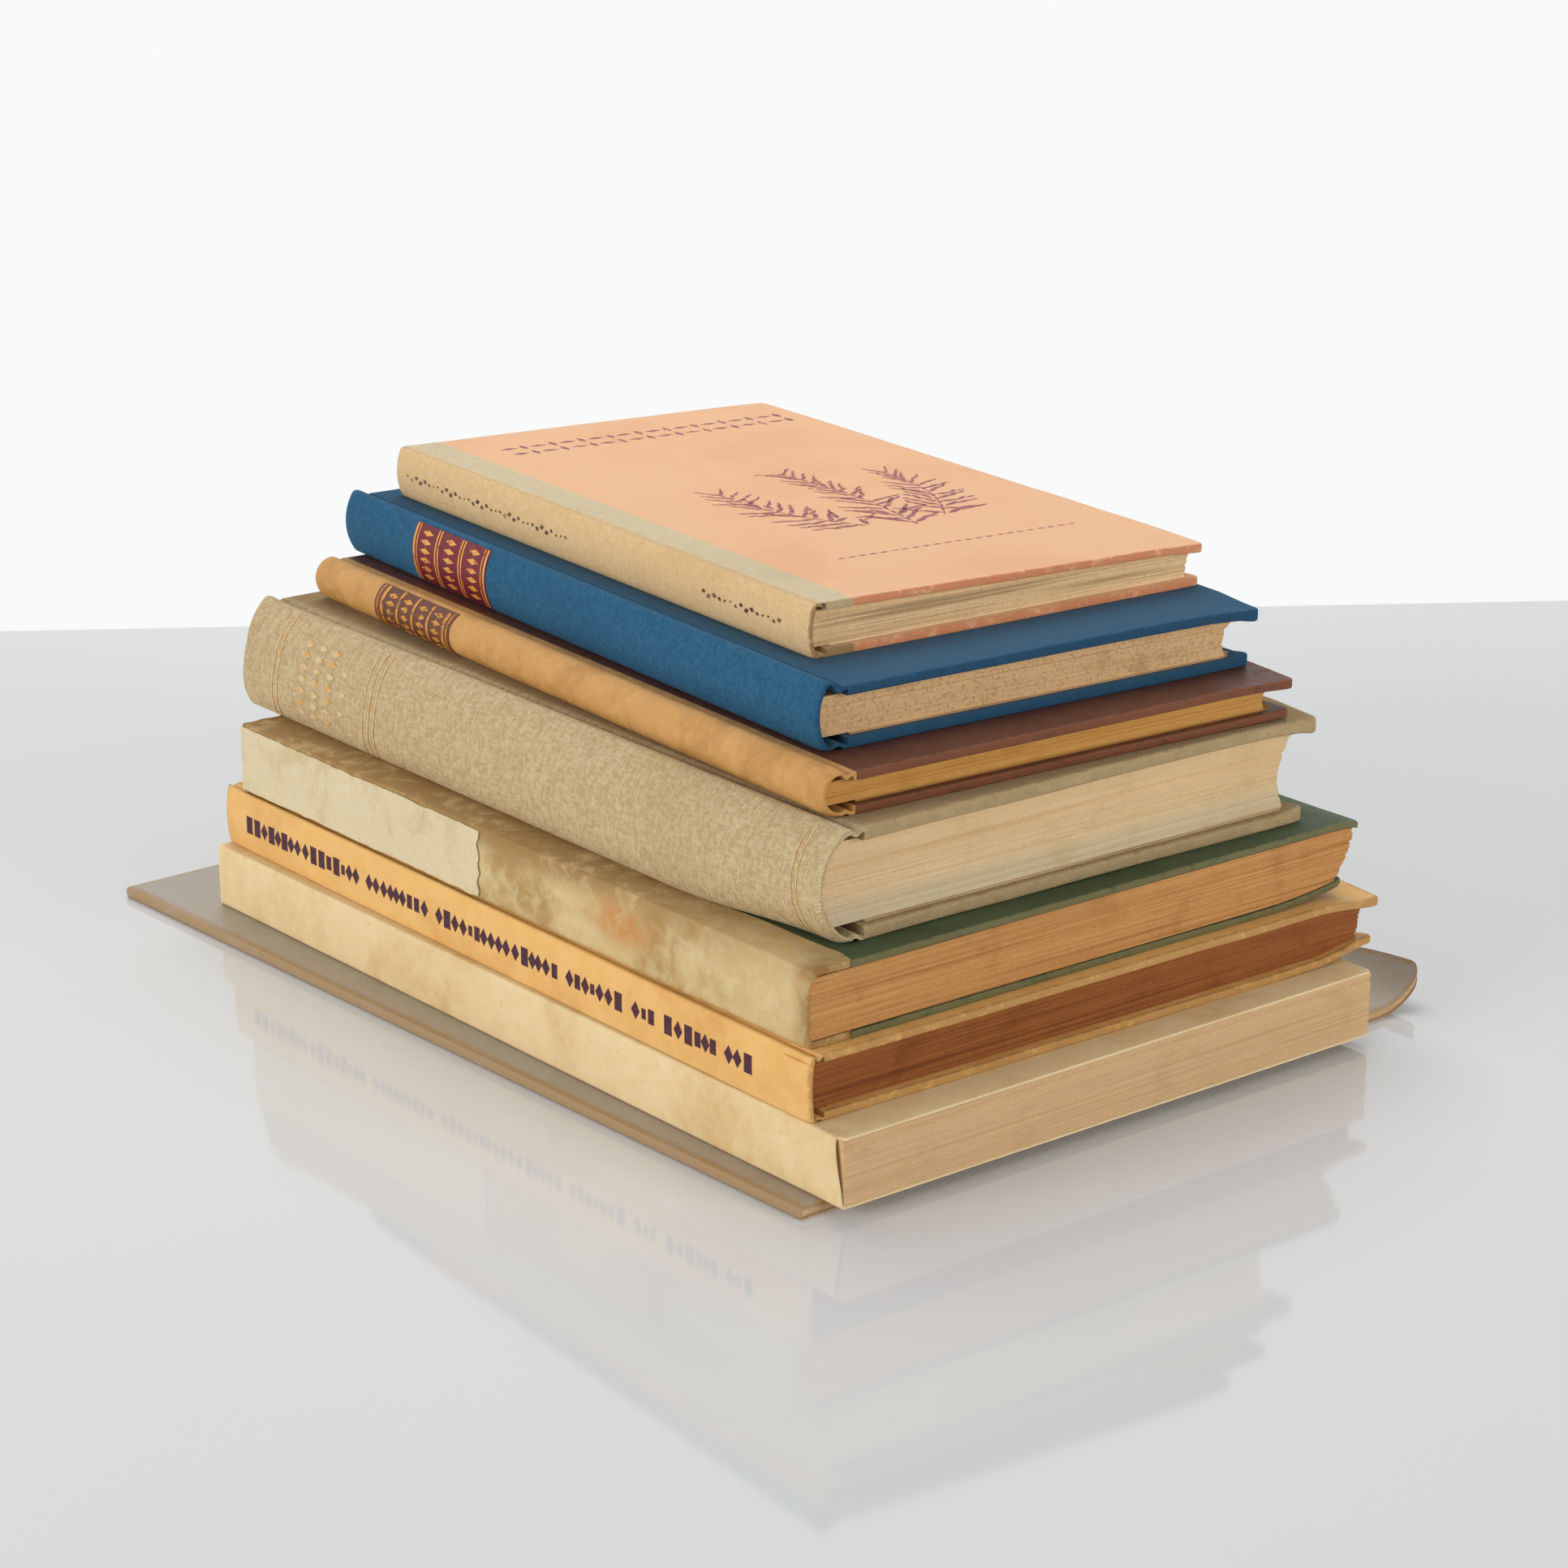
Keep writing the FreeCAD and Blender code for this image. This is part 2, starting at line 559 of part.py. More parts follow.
def peach_front_cover(case):
    """The cover that opens: its board, paper side, strip of spine cloth and pastedown."""
    top, wide, length = case.height - case.depth, case.front_width, case.length
    board = bare_board(case, wide, top)
    strip = skin(case, case.joint, PEACH_STRIP, wide, top, False)
    lip = box(PEACH_HINGE + PEACH_HINGE_GAP, case.joint, 0, length, case.height - case.cover, case.height)
    fold, margin = case.joint + PASTEDOWN_MARGIN, PASTEDOWN_MARGIN
    paste = box(fold, wide - margin, margin, length - margin, top - ENDPAPER / 2, top)
    fill = box(fold, wide - TURN_IN, TURN_IN, length - TURN_IN, top, top + case.cover)
    nodes["peach_front_board"] = lean_back(board)
    nodes["peach_front_cloth"] = lean_back(strip.fuse(lip).removeSplitter())
    nodes["peach_front_paper"] = lean_back(skin(case, PEACH_STRIP, wide, wide, top, False))
    nodes["peach_front_pastedown"] = lean_back(paste.fuse(fill).removeSplitter())
    leaf = box(fold, case.width - case.fore_square + case.lean, case.tail_square, length - case.tail_square,
               case.pages_high - PEACH_COVER_GAP, case.pages_high - PEACH_COVER_GAP + ENDPAPER / 2)
    nodes["peach_front_flyleaf"] = lean_back(leaf)


def peach_book():
    case = Case(PEACH_LENGTH, PEACH_WIDTH, PEACH_SPINE_HEIGHT, PEACH_BOARD, PEACH_COVERING, PEACH_BULGE, 0,
                PEACH_JOINT, PEACH_GROOVE, PEACH_TAIL_SQUARE, PEACH_FORE_SQUARE, PEACH_LEAN,
                PEACH_FORE_CURVE, PEACH_HOLLOW)
    outer, inner = spine_path(case, 0, False), spine_path(case, case.cover, False)
    band = spine_band(case, outer, inner, 0, case.length)
    band = band.cut(box(PEACH_HINGE, 2 * case.joint, 0, case.length, case.height / 2, 2 * case.height))
    back_strip = skin(case, case.joint, PEACH_STRIP, case.width, 0, True)
    peach_front_cover(case)
    nodes["peach_text_block"] = peach_pages(case)
    nodes["peach_spine_cloth"] = band.fuse(back_strip).removeSplitter()
    nodes["peach_spine_inlay"] = spine_inlay(case)
    nodes["peach_back_board"] = bare_board(case, case.width, 0)
    nodes["peach_back_paper"] = skin(case, PEACH_STRIP, case.width, case.width, 0, True)
    nodes["peach_back_endpaper"] = endpaper(case, case.width, case.width - case.fore_square, case.pages_low,
                                            case.depth - case.cover)
    return case.height


def cover_hinge(level):
    """The line that the peach front cover turns about: a point on it, and a point further to the head."""
    turn = FreeCAD.Rotation(Vector(0, 0, 1), PEACH_YAW)
    where = FreeCAD.Placement(PEACH_PLACE + Vector(0, 0, level), turn)
    height = PEACH_SPINE_HEIGHT + PEACH_HINGE_RISE
    return [where.multVec(Vector(PEACH_HINGE, y, height)) for y in (PEACH_LENGTH / 2, PEACH_LENGTH)]


def build_stack():
    """Makes the books from the floor up, each on the top face of the last. Returns the top book's level."""
    books = [
        (grey_booklet, Vector(0, 0, 0), 0),
        (cream_paperback, CREAM_PLACE, CREAM_YAW),
        (yellow_book, YELLOW_PLACE, YELLOW_YAW),
        (green_book, GREEN_PLACE, GREEN_YAW),
        (linen_book, LINEN_PLACE, LINEN_YAW),
        (tan_book, TAN_PLACE, TAN_YAW),
        (blue_book, BLUE_PLACE, BLUE_YAW),
        (peach_book, PEACH_PLACE, PEACH_YAW),
    ]
    level = 0
    for make, corner, yaw in books:
        before = set(nodes)
        height = make()
        place_book(sorted(set(nodes) - before), corner, yaw, level)
        top_level = level
        level += height
    return top_level


def centre_stack():
    """Moves the stack so that the origin is on the floor under the middle of its bounding box."""
    whole = FreeCAD.BoundBox()
    for shape in nodes.values():
        whole.add(shape.optimalBoundingBox())
    for shape in nodes.values():
        shape.translate(Vector(-whole.Center.x, -whole.Center.y, -whole.ZMin))
    return whole.Center


peach_level = build_stack()
shift = centre_stack()
os.makedirs("parts", exist_ok=True)
for node, shape in sorted(nodes.items()):
    shape.exportStep("parts/" + node + ".step")
print("nodes", len(nodes), "stack moved by", [round(-v, 3) for v in (shift.x, shift.y)])
for place in cover_hinge(peach_level):
    print("hinge line through", [round(v, 3) for v in (place.x - shift.x, place.y - shift.y, place.z)])
for node, shape in sorted(nodes.items()):
    print(node, "solids", len(shape.Solids), "valid", shape.isValid(), "volume", round(shape.Volume, 1))
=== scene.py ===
# %% [markdown]
# # A stack of eight old books
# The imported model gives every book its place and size. This script dresses it: the covers, leaves, labels
# and prints are modelled again with rounded edges, curled corners and frayed ends, and each gets a finish
# of its own. Everything is made in millimetres from a book's own tail spine corner, and set on the stack last.

# %% Load the frame
import sys
import bpy
import bmesh
import json
import math
import numpy as np
from mathutils import Vector, noise
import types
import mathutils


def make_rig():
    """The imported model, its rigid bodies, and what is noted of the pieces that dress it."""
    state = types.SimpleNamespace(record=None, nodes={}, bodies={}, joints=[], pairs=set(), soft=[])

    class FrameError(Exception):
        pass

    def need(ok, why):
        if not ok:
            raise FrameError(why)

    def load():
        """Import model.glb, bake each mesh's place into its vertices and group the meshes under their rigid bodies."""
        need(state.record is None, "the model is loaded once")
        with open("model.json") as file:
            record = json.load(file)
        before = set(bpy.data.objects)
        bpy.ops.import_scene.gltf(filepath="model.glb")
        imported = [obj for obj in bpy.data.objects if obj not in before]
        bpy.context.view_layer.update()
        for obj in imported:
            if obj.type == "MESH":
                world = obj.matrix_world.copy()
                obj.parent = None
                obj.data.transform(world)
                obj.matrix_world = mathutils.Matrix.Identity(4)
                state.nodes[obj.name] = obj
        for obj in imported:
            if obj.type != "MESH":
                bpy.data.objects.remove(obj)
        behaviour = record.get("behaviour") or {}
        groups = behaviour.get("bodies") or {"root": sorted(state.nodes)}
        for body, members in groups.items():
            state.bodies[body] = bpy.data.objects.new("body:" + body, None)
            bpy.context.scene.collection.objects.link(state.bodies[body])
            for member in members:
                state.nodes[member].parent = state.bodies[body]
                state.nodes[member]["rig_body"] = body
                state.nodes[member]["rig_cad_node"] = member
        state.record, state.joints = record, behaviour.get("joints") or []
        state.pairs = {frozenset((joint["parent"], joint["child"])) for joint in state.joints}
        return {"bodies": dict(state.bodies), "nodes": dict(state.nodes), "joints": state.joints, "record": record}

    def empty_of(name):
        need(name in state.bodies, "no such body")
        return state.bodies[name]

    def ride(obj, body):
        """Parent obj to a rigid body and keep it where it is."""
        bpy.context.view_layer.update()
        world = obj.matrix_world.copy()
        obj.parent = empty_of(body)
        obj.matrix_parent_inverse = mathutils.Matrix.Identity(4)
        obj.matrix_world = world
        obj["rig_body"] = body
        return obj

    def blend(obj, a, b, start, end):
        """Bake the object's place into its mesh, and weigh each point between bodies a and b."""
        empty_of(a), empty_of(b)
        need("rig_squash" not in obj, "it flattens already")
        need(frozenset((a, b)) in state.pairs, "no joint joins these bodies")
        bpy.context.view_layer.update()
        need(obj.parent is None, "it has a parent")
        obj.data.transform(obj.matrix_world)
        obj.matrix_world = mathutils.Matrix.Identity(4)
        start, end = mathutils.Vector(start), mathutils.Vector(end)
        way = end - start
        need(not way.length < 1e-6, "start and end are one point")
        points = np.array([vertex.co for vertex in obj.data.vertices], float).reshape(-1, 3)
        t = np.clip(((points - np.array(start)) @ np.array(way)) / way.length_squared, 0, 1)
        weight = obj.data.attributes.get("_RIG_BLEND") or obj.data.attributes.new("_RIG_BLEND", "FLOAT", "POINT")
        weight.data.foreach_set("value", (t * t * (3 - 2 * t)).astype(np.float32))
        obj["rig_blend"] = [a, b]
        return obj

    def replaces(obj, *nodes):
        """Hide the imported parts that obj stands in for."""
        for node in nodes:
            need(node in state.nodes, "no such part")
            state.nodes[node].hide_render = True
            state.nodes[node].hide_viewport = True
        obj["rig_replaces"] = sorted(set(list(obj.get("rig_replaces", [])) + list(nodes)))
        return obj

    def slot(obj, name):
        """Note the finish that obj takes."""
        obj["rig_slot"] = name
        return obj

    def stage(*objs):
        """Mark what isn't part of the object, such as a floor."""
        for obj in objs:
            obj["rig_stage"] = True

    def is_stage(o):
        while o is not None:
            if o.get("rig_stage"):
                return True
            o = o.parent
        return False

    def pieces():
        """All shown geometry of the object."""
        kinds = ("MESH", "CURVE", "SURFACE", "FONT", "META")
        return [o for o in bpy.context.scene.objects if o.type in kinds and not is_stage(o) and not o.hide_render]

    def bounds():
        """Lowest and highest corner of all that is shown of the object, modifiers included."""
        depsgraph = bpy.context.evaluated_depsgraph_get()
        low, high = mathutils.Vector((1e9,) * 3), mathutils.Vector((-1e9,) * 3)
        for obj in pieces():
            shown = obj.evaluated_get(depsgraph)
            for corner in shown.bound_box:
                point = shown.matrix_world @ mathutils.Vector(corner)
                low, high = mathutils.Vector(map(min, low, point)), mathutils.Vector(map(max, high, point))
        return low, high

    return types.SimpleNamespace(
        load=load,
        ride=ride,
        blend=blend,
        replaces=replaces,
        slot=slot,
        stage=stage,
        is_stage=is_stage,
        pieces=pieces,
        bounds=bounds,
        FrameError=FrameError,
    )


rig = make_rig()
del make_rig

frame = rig.load()
cad_box = [list(corner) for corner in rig.bounds()]
print("bodies", sorted(frame["bodies"]), "nodes", len(frame["nodes"]), "box", cad_box)

# %% [markdown]
# ## The camera
# The camera stands where the photograph was taken, found by fitting the corners of all eight books. A plain
# camera with no shift gives that frame, so it is placed by its position and its line of sight.

# %% Camera
camera_data = bpy.data.cameras.new("photo_camera")
camera = bpy.data.objects.new("photo_camera", camera_data)
bpy.context.scene.collection.objects.link(camera)
bpy.context.scene.camera = camera
camera_data.lens, camera_data.sensor_width = 93.17, 36.0
camera.location = (-0.7537, -0.8994, 0.4340)
line_of_sight = Vector((0.6152, 0.7260, -0.3074))
camera.rotation_mode = "QUATERNION"
camera.rotation_quaternion = line_of_sight.to_track_quat("-Z", "Y")
print("camera at", camera.location[:])

# %% [markdown]
# ## Table, background and light
# The books stand on a glossy white table in front of white paper. The background is the world, white only to
# the camera and to reflections, so it adds no light to the books. The table is one slab that ends where the
# photograph shows its far edge. Two large soft lamps, low on the left and right, light the spines and the tails,
# and a third one high behind the stack lights the covers and the far part of the table.

# %% Table
def nothing_selected():
    if bpy.context.mode != "OBJECT":
        bpy.ops.object.mode_set(mode="OBJECT")
    bpy.ops.object.select_all(action="DESELECT")


nothing_selected()
bpy.ops.mesh.primitive_plane_add(size=1)
table = bpy.context.object
table.name = "white_table"
for vertex, place in zip(table.data.vertices, [(-3.7, -0.5), (0.35, -3.45), (-1.772, 1.770), (2.291, -1.191)]):
    vertex.co = (*place, 0.0)
bpy.ops.object.mode_set(mode="EDIT")
bpy.ops.mesh.select_all(action="SELECT")
bpy.ops.mesh.extrude_region_move(TRANSFORM_OT_translate={"value": (0, 0, -0.03)})
bpy.ops.mesh.select_all(action="SELECT")
bpy.ops.mesh.normals_make_consistent(inside=False)
bpy.ops.object.mode_set(mode="OBJECT")
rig.stage(table)
print("table", len(table.data.polygons), "faces")

# %% World and lamps
world = bpy.data.worlds.new("white_paper")
bpy.context.scene.world = world
world.use_nodes = True
tree = world.node_tree
tree.nodes.clear()
path = tree.nodes.new("ShaderNodeLightPath")
seen = tree.nodes.new("ShaderNodeMath")
seen.operation = "MAXIMUM"
tree.links.new(path.outputs["Is Camera Ray"], seen.inputs[0])
tree.links.new(path.outputs["Is Glossy Ray"], seen.inputs[1])
fill = tree.nodes.new("ShaderNodeBackground")
fill.inputs["Color"].default_value, fill.inputs["Strength"].default_value = (0.95, 0.97, 1.0, 1), 0.31
white = tree.nodes.new("ShaderNodeBackground")
white.inputs["Color"].default_value, white.inputs["Strength"].default_value = (0.95, 0.955, 0.96, 1), 1.0
choose = tree.nodes.new("ShaderNodeMixShader")
out = tree.nodes.new("ShaderNodeOutputWorld")
tree.links.new(seen.outputs[0], choose.inputs["Fac"])
tree.links.new(fill.outputs[0], choose.inputs[1])
tree.links.new(white.outputs[0], choose.inputs[2])
tree.links.new(choose.outputs[0], out.inputs["Surface"])


def soft_lamp(name, place, size, watts, tint):
    data = bpy.data.lights.new(name, "AREA")
    data.shape, data.size, data.size_y, data.energy, data.color = "RECTANGLE", size, size * 0.8, watts, tint
    lamp = bpy.data.objects.new(name, data)
    bpy.context.scene.collection.objects.link(lamp)
    lamp.location = place
    lamp.rotation_mode = "QUATERNION"
    lamp.rotation_quaternion = (Vector((0, 0, 0.05)) - Vector(place)).to_track_quat("-Z", "Y")
    lamp.visible_camera = False
    lamp.visible_glossy = False
    return lamp


soft_lamp("left_softbox", (-2.1, 0.1, 0.6), 1.3, 36, (1.0, 0.98, 0.95))
soft_lamp("right_softbox", (0.5, -2.3, 0.6), 1.3, 32, (1.0, 0.98, 0.95))
soft_lamp("top_softbox", (0.6, 0.9, 1.7), 1.7, 26, (1.0, 0.99, 0.97))
bpy.context.scene.view_settings.view_transform = "Standard"
print("lamps", [o.name for o in bpy.data.objects if o.type == "LIGHT"])

# %% [markdown]
# ## The books' sizes
# Each book is described once, in millimetres: its outer sizes, how its spine and boards are made, and where
# its tail spine corner stands. The shapes below all start from these numbers, as the source of the part does,
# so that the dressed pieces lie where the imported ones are.

# %% Book sizes
STACK_SHIFT = (-121.699, -159.995)


class Book:
    """One book: sizes in millimetres from its tail spine corner, and its place on the stack."""

    def __init__(self, corner, yaw, level, length, width, height, seed, **more):
        self.place = (corner[0] + STACK_SHIFT[0], corner[1] + STACK_SHIFT[1], level)
        self.yaw = math.radians(yaw)
        self.length, self.width, self.height, self.seed = length, width, height, seed
        for key, value in more.items():
            setattr(self, key, value)
        if "bulge" in more:
            self.depth = self.board + 2 * self.cover
            self.spine_height = height + self.proud
            half = self.spine_height / 2
            self.radius = (half * half + self.bulge ** 2) / (2 * self.bulge)
            self.centre = self.radius - self.bulge
            self.angle = math.asin(half / self.radius)
            self.front_width = width + self.lean

    def spine_point(self, angle, inset):
        r = self.radius - inset
        return (self.centre - r * math.cos(angle), self.spine_height / 2 + r * math.sin(angle))

    def page_back(self, z):
        r = self.radius - self.cover - 0.9 - self.hollow
        return self.centre - math.sqrt(r * r - (z - self.spine_height / 2) ** 2)


grey = Book((0, 0), 0, 0, 332, 244, 3.2, 1)
cream = Book((7.6, -7.6), -1.27, 3.2, 306.5, 199, 19.9, 2)
yellow = Book((8.2, 5.2), -2.06, 23.1, 295, 209.5, 18.6, 3, board=1.7, cover=0.3, bulge=0.9, proud=0, joint=4.5,
              groove=0.7, tail=3.2, fore=4.5, lean=2.5, curve=0.6, hollow=0.7)
green = Book((11.2, 9.4), -1.75, 41.7, 282.5, 205.5, 21.9, 4)
linen = Book((31.1, 18.9), -2.3, 63.6, 291.5, 171, 31.7, 5, board=2.9, cover=0.5, bulge=9, proud=0.9, joint=7,
             groove=1.3, tail=4.2, fore=5.5, lean=4.8, curve=4, hollow=1.6)
tan = Book((36.4, 28.5), -5.0, 95.3, 273.5, 160.7, 11.9, 6, board=1.7, cover=0.4, bulge=5, proud=1.6, joint=6,
           groove=0.9, tail=3.6, fore=7, lean=1.6, curve=1.2, hollow=0.8)
blue = Book((47.4, 45.5), -5.87, 107.2, 262.5, 149.6, 17.7, 7, board=2.1, cover=0.4, bulge=3.2, proud=2.1,
            joint=7.5, groove=1.2, tail=4, fore=6.5, lean=3.5, curve=2.4, hollow=1)
peach = Book((64.3, 69.7), -5.65, 124.9, 228.5, 137.7, 15.7, 8, board=1.6, cover=0.35, bulge=1.8, proud=0,
             joint=4.2, groove=0.3, tail=2.8, fore=3.6, lean=1.4, curve=0.5, hollow=0.6)
print("spine radii", [round(b.radius, 1) for b in (yellow, linen, tan, blue, peach)])

# %% [markdown]
# ## Ways of modelling
# A cover, a wrapper or a block of leaves is a bar with four corners whose section changes on the way. So one
# helper starts with a plane, and extrudes it from ring to ring, as by hand with E. Others bevel the edges that
# are chosen by their place, bisect the bar across so that it can bend, and move its points.

# %% Extrude a bar from ring to ring
def pulled_through(name, rings):
    nothing_selected()
    bpy.ops.mesh.primitive_plane_add(size=1)
    piece = bpy.context.object
    piece.name = piece.data.name = name
    for vertex, k in zip(piece.data.vertices, (0, 1, 3, 2)):
        vertex.co = rings[0][k]
    bpy.ops.object.mode_set(mode="EDIT")
    for last, ring in zip(rings, rings[1:]):
        bpy.ops.mesh.extrude_region_move()
        mesh = bmesh.from_edit_mesh(piece.data)
        end = [v for v in mesh.verts if v.select]
        old = np.array(last)
        for v in end:
            v.co = ring[int(np.argmin(((old - np.array(v.co)) ** 2).sum(1)))]
        bmesh.update_edit_mesh(piece.data)
    bpy.ops.mesh.select_all(action="SELECT")
    bpy.ops.mesh.normals_make_consistent(inside=False)
    bpy.ops.object.mode_set(mode="OBJECT")
    return piece


# %% Bevel chosen edges
def soften(piece, offset, chosen, segments=3):
    """Bevels the sharp edges that chosen(a, b) accepts by their two ends."""
    nothing_selected()
    bpy.context.view_layer.objects.active = piece
    piece.select_set(True)
    bpy.ops.object.mode_set(mode="EDIT")
    bpy.ops.mesh.select_mode(type="EDGE")
    bpy.ops.mesh.select_all(action="DESELECT")
    mesh = bmesh.from_edit_mesh(piece.data)
    for edge in mesh.edges:
        if edge.calc_face_angle(0) > 0.6 and chosen(edge.verts[0].co, edge.verts[1].co):
            edge.select_set(True)
    bmesh.update_edit_mesh(piece.data)
    bpy.ops.mesh.bevel(offset=offset, segments=segments, affect="EDGES", clamp_overlap=False)
    bpy.ops.mesh.select_mode(type="VERT")
    bpy.ops.object.mode_set(mode="OBJECT")


# %% Bisect across, and move points
def cut_across(piece, axis, places):
    nothing_selected()
    bpy.context.view_layer.objects.active = piece
    piece.select_set(True)
    bpy.ops.object.mode_set(mode="EDIT")
    for place in places:
        point, direction = [0, 0, 0], [0, 0, 0]
        point[axis], direction[axis] = place, 1
        bpy.ops.mesh.select_all(action="SELECT")
        bpy.ops.mesh.bisect(plane_co=point, plane_no=direction)
    bpy.ops.object.mode_set(mode="OBJECT")


def reshape(piece, move):
    points = np.empty(len(piece.data.vertices) * 3)
    piece.data.vertices.foreach_get("co", points)
    points = move(points.reshape(-1, 3).copy())
    piece.data.vertices.foreach_set("co", points.reshape(-1))
    piece.data.update()


def ripple(points, size, seed):
    """Smooth noise from -1 to 1 at each point."""
    off = Vector((seed * 7.3, seed * 3.1, seed * 5.7))
    return np.array([noise.noise(Vector(p) / size + off) for p in points])


def ease(t):
    t = np.clip(t, 0, 1)
    return t * t * (3 - 2 * t)


# %% Set a piece on the stack
def lay_on_stack(piece, book, body, slot, finish, nodes=(), smooth_angle=38):
    nothing_selected()
    bpy.context.view_layer.objects.active = piece
    piece.select_set(True)
    piece.scale = (0.001,) * 3
    piece.rotation_euler = (0, 0, book.yaw)
    piece.location = [v * 0.001 for v in book.place]
    bpy.ops.object.transform_apply(location=True, rotation=True, scale=True)
    bpy.ops.object.shade_smooth_by_angle(angle=math.radians(smooth_angle))
    piece.data.materials.clear()
    piece.data.materials.append(finish)
    if body:
        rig.ride(piece, body)
    if nodes:
        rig.replaces(piece, *nodes)
    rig.slot(piece, slot)
    print(piece.name, len(piece.data.polygons), "faces")
    return piece


# %% [markdown]
# ## Ways of making a finish
# Old books show the same few effects on all their finishes: clouds and foxing in paper, woven threads in
# cloth, leaf lines at page edges, and rubbed corners. Each effect is a node group, built once. They read a
# book's own coordinates, which a Mapping node makes from the Object coordinates by undoing the book's place.

# %% Short words for nodes
class Nodes:
    def __init__(self, tree):
        self.tree = tree

    def join(self, value, socket):
        if hasattr(value, "is_output"):
            self.tree.links.new(value, socket)
        else:
            socket.default_value = value

    def put(self, kind, settings=None, **inputs):
        node = self.tree.nodes.new("ShaderNode" + kind)
        for key, value in (settings or {}).items():
            setattr(node, key, value)
        for key, value in inputs.items():
            self.join(value, node.inputs[key.replace("_", " ")])
        return node

    def math(self, operation, *values, clamp=False):
        node = self.put("Math", {"operation": operation, "use_clamp": clamp})
        for value, socket in zip(values, node.inputs):
            self.join(value, socket)
        return node.outputs[0]

    def vector(self, operation, *values):
        node = self.put("VectorMath", {"operation": operation})
        for value, socket in zip(values, node.inputs):
            self.join(value, socket)
        return node.outputs[0]

    def tint(self, factor, a, b, how="MIX"):
        node = self.put("Mix", {"data_type": "RGBA", "blend_type": how})
        self.join(factor, node.inputs[0])
        self.join(a, node.inputs[6])
        self.join(b, node.inputs[7])
        return node.outputs[2]

    def noise(self, vector, scale, detail=3.0, rough=0.5, bend=0.0):
        return self.put("TexNoise", None, Vector=vector, Scale=scale, Detail=detail, Roughness=rough,
                        Distortion=bend).outputs["Fac"]

    def span(self, value, low, high, to_low=0.0, to_high=1.0):
        node = self.put("MapRange", {"interpolation_type": "SMOOTHSTEP"}, Value=value, From_Min=low,
                        From_Max=high, To_Min=to_low, To_Max=to_high)
        return node.outputs[0]


def start_group(name, inputs, outputs):
    tree = bpy.data.node_groups.new(name, "ShaderNodeTree")
    for key, kind in inputs.items():
        tree.interface.new_socket(key, in_out="INPUT", socket_type="NodeSocket" + kind)
    for key in outputs:
        tree.interface.new_socket(key, in_out="OUTPUT", socket_type="NodeSocketFloat")
    nodes = Nodes(tree)
    return nodes, nodes.tree.nodes.new("NodeGroupInput").outputs, nodes.tree.nodes.new("NodeGroupOutput").inputs


# %% Clouds, foxing and fibres of old paper
n, given, gives = start_group("Old paper", {"Vector": "Vector", "Size": "Float"}, ["Cloud", "Spots", "Fibre"])
scaled = n.put("VectorMath", {"operation": "SCALE"}, Vector=given["Vector"],
               Scale=n.math("DIVIDE", 1.0, given["Size"])).outputs[0]
n.join(n.noise(scaled, 1.0, 5, 0.6, 0.4), gives["Cloud"])
n.join(n.span(n.noise(scaled, 11.0, 2, 0.5), 0.66, 0.76), gives["Spots"])
n.join(n.noise(given["Vector"], 1400.0, 3, 0.6), gives["Fibre"])
old_paper = n.tree

# %% Woven threads
n, given, gives = start_group("Woven threads", {"Vector": "Vector", "Pitch": "Float"}, ["Weave", "Slub"])
wavering = n.vector("ADD", given["Vector"], n.vector("SCALE", n.put(
    "TexNoise", None, Vector=given["Vector"], Scale=160.0, Detail=2.0).outputs["Color"]))
wavering.node.inputs[1].links[0].from_node.inputs["Scale"].default_value = 0.0006
axes = n.put("SeparateXYZ", None, Vector=wavering).outputs
round_way = n.math("DIVIDE", n.math("ADD", axes["X"], axes["Z"]), given["Pitch"])
long_way = n.math("DIVIDE", axes["Y"], given["Pitch"])
warp_thread = n.math("SINE", n.math("MULTIPLY", round_way, 2 * math.pi))
weft_thread = n.math("SINE", n.math("MULTIPLY", long_way, 2 * math.pi))
n.join(n.math("MULTIPLY_ADD", n.math("MULTIPLY", warp_thread, weft_thread), 0.5, 0.5), gives["Weave"])
along = n.noise(n.vector("MULTIPLY", given["Vector"], (1000.0, 340.0, 1000.0)), 1.0, 3, 0.6)
across = n.noise(n.vector("MULTIPLY", given["Vector"], (340.0, 1000.0, 340.0)), 1.0, 3, 0.6)
n.join(n.math("MULTIPLY", n.math("ADD", along, across), 0.5), gives["Slub"])
woven_threads = n.tree

# %% Leaf lines at page edges
n, given, gives = start_group("Leaf lines", {"Vector": "Vector", "Leaf": "Float"},
    ["Leaves", "Sections", "Soil", "Speckle"])
axes = n.put("SeparateXYZ", None, Vector=given["Vector"]).outputs
layer = n.math("DIVIDE", axes["Z"], given["Leaf"])
flat = n.put("CombineXYZ", None, X=n.math("MULTIPLY", axes["X"], 14.0), Y=n.math("MULTIPLY", axes["Y"], 14.0),
    Z=layer)
thick = n.put("CombineXYZ", None, X=n.math("MULTIPLY", axes["X"], 6.0), Y=n.math("MULTIPLY", axes["Y"], 6.0),
              Z=n.math("MULTIPLY", layer, 0.11))
n.join(n.noise(flat.outputs[0], 1.0, 4, 0.75), gives["Leaves"])
n.join(n.noise(thick.outputs[0], 1.0, 2, 0.5), gives["Sections"])
n.join(n.noise(given["Vector"], 55.0, 5, 0.65), gives["Soil"])
n.join(n.noise(given["Vector"], 1100.0, 2, 0.6), gives["Speckle"])
leaf_lines = n.tree

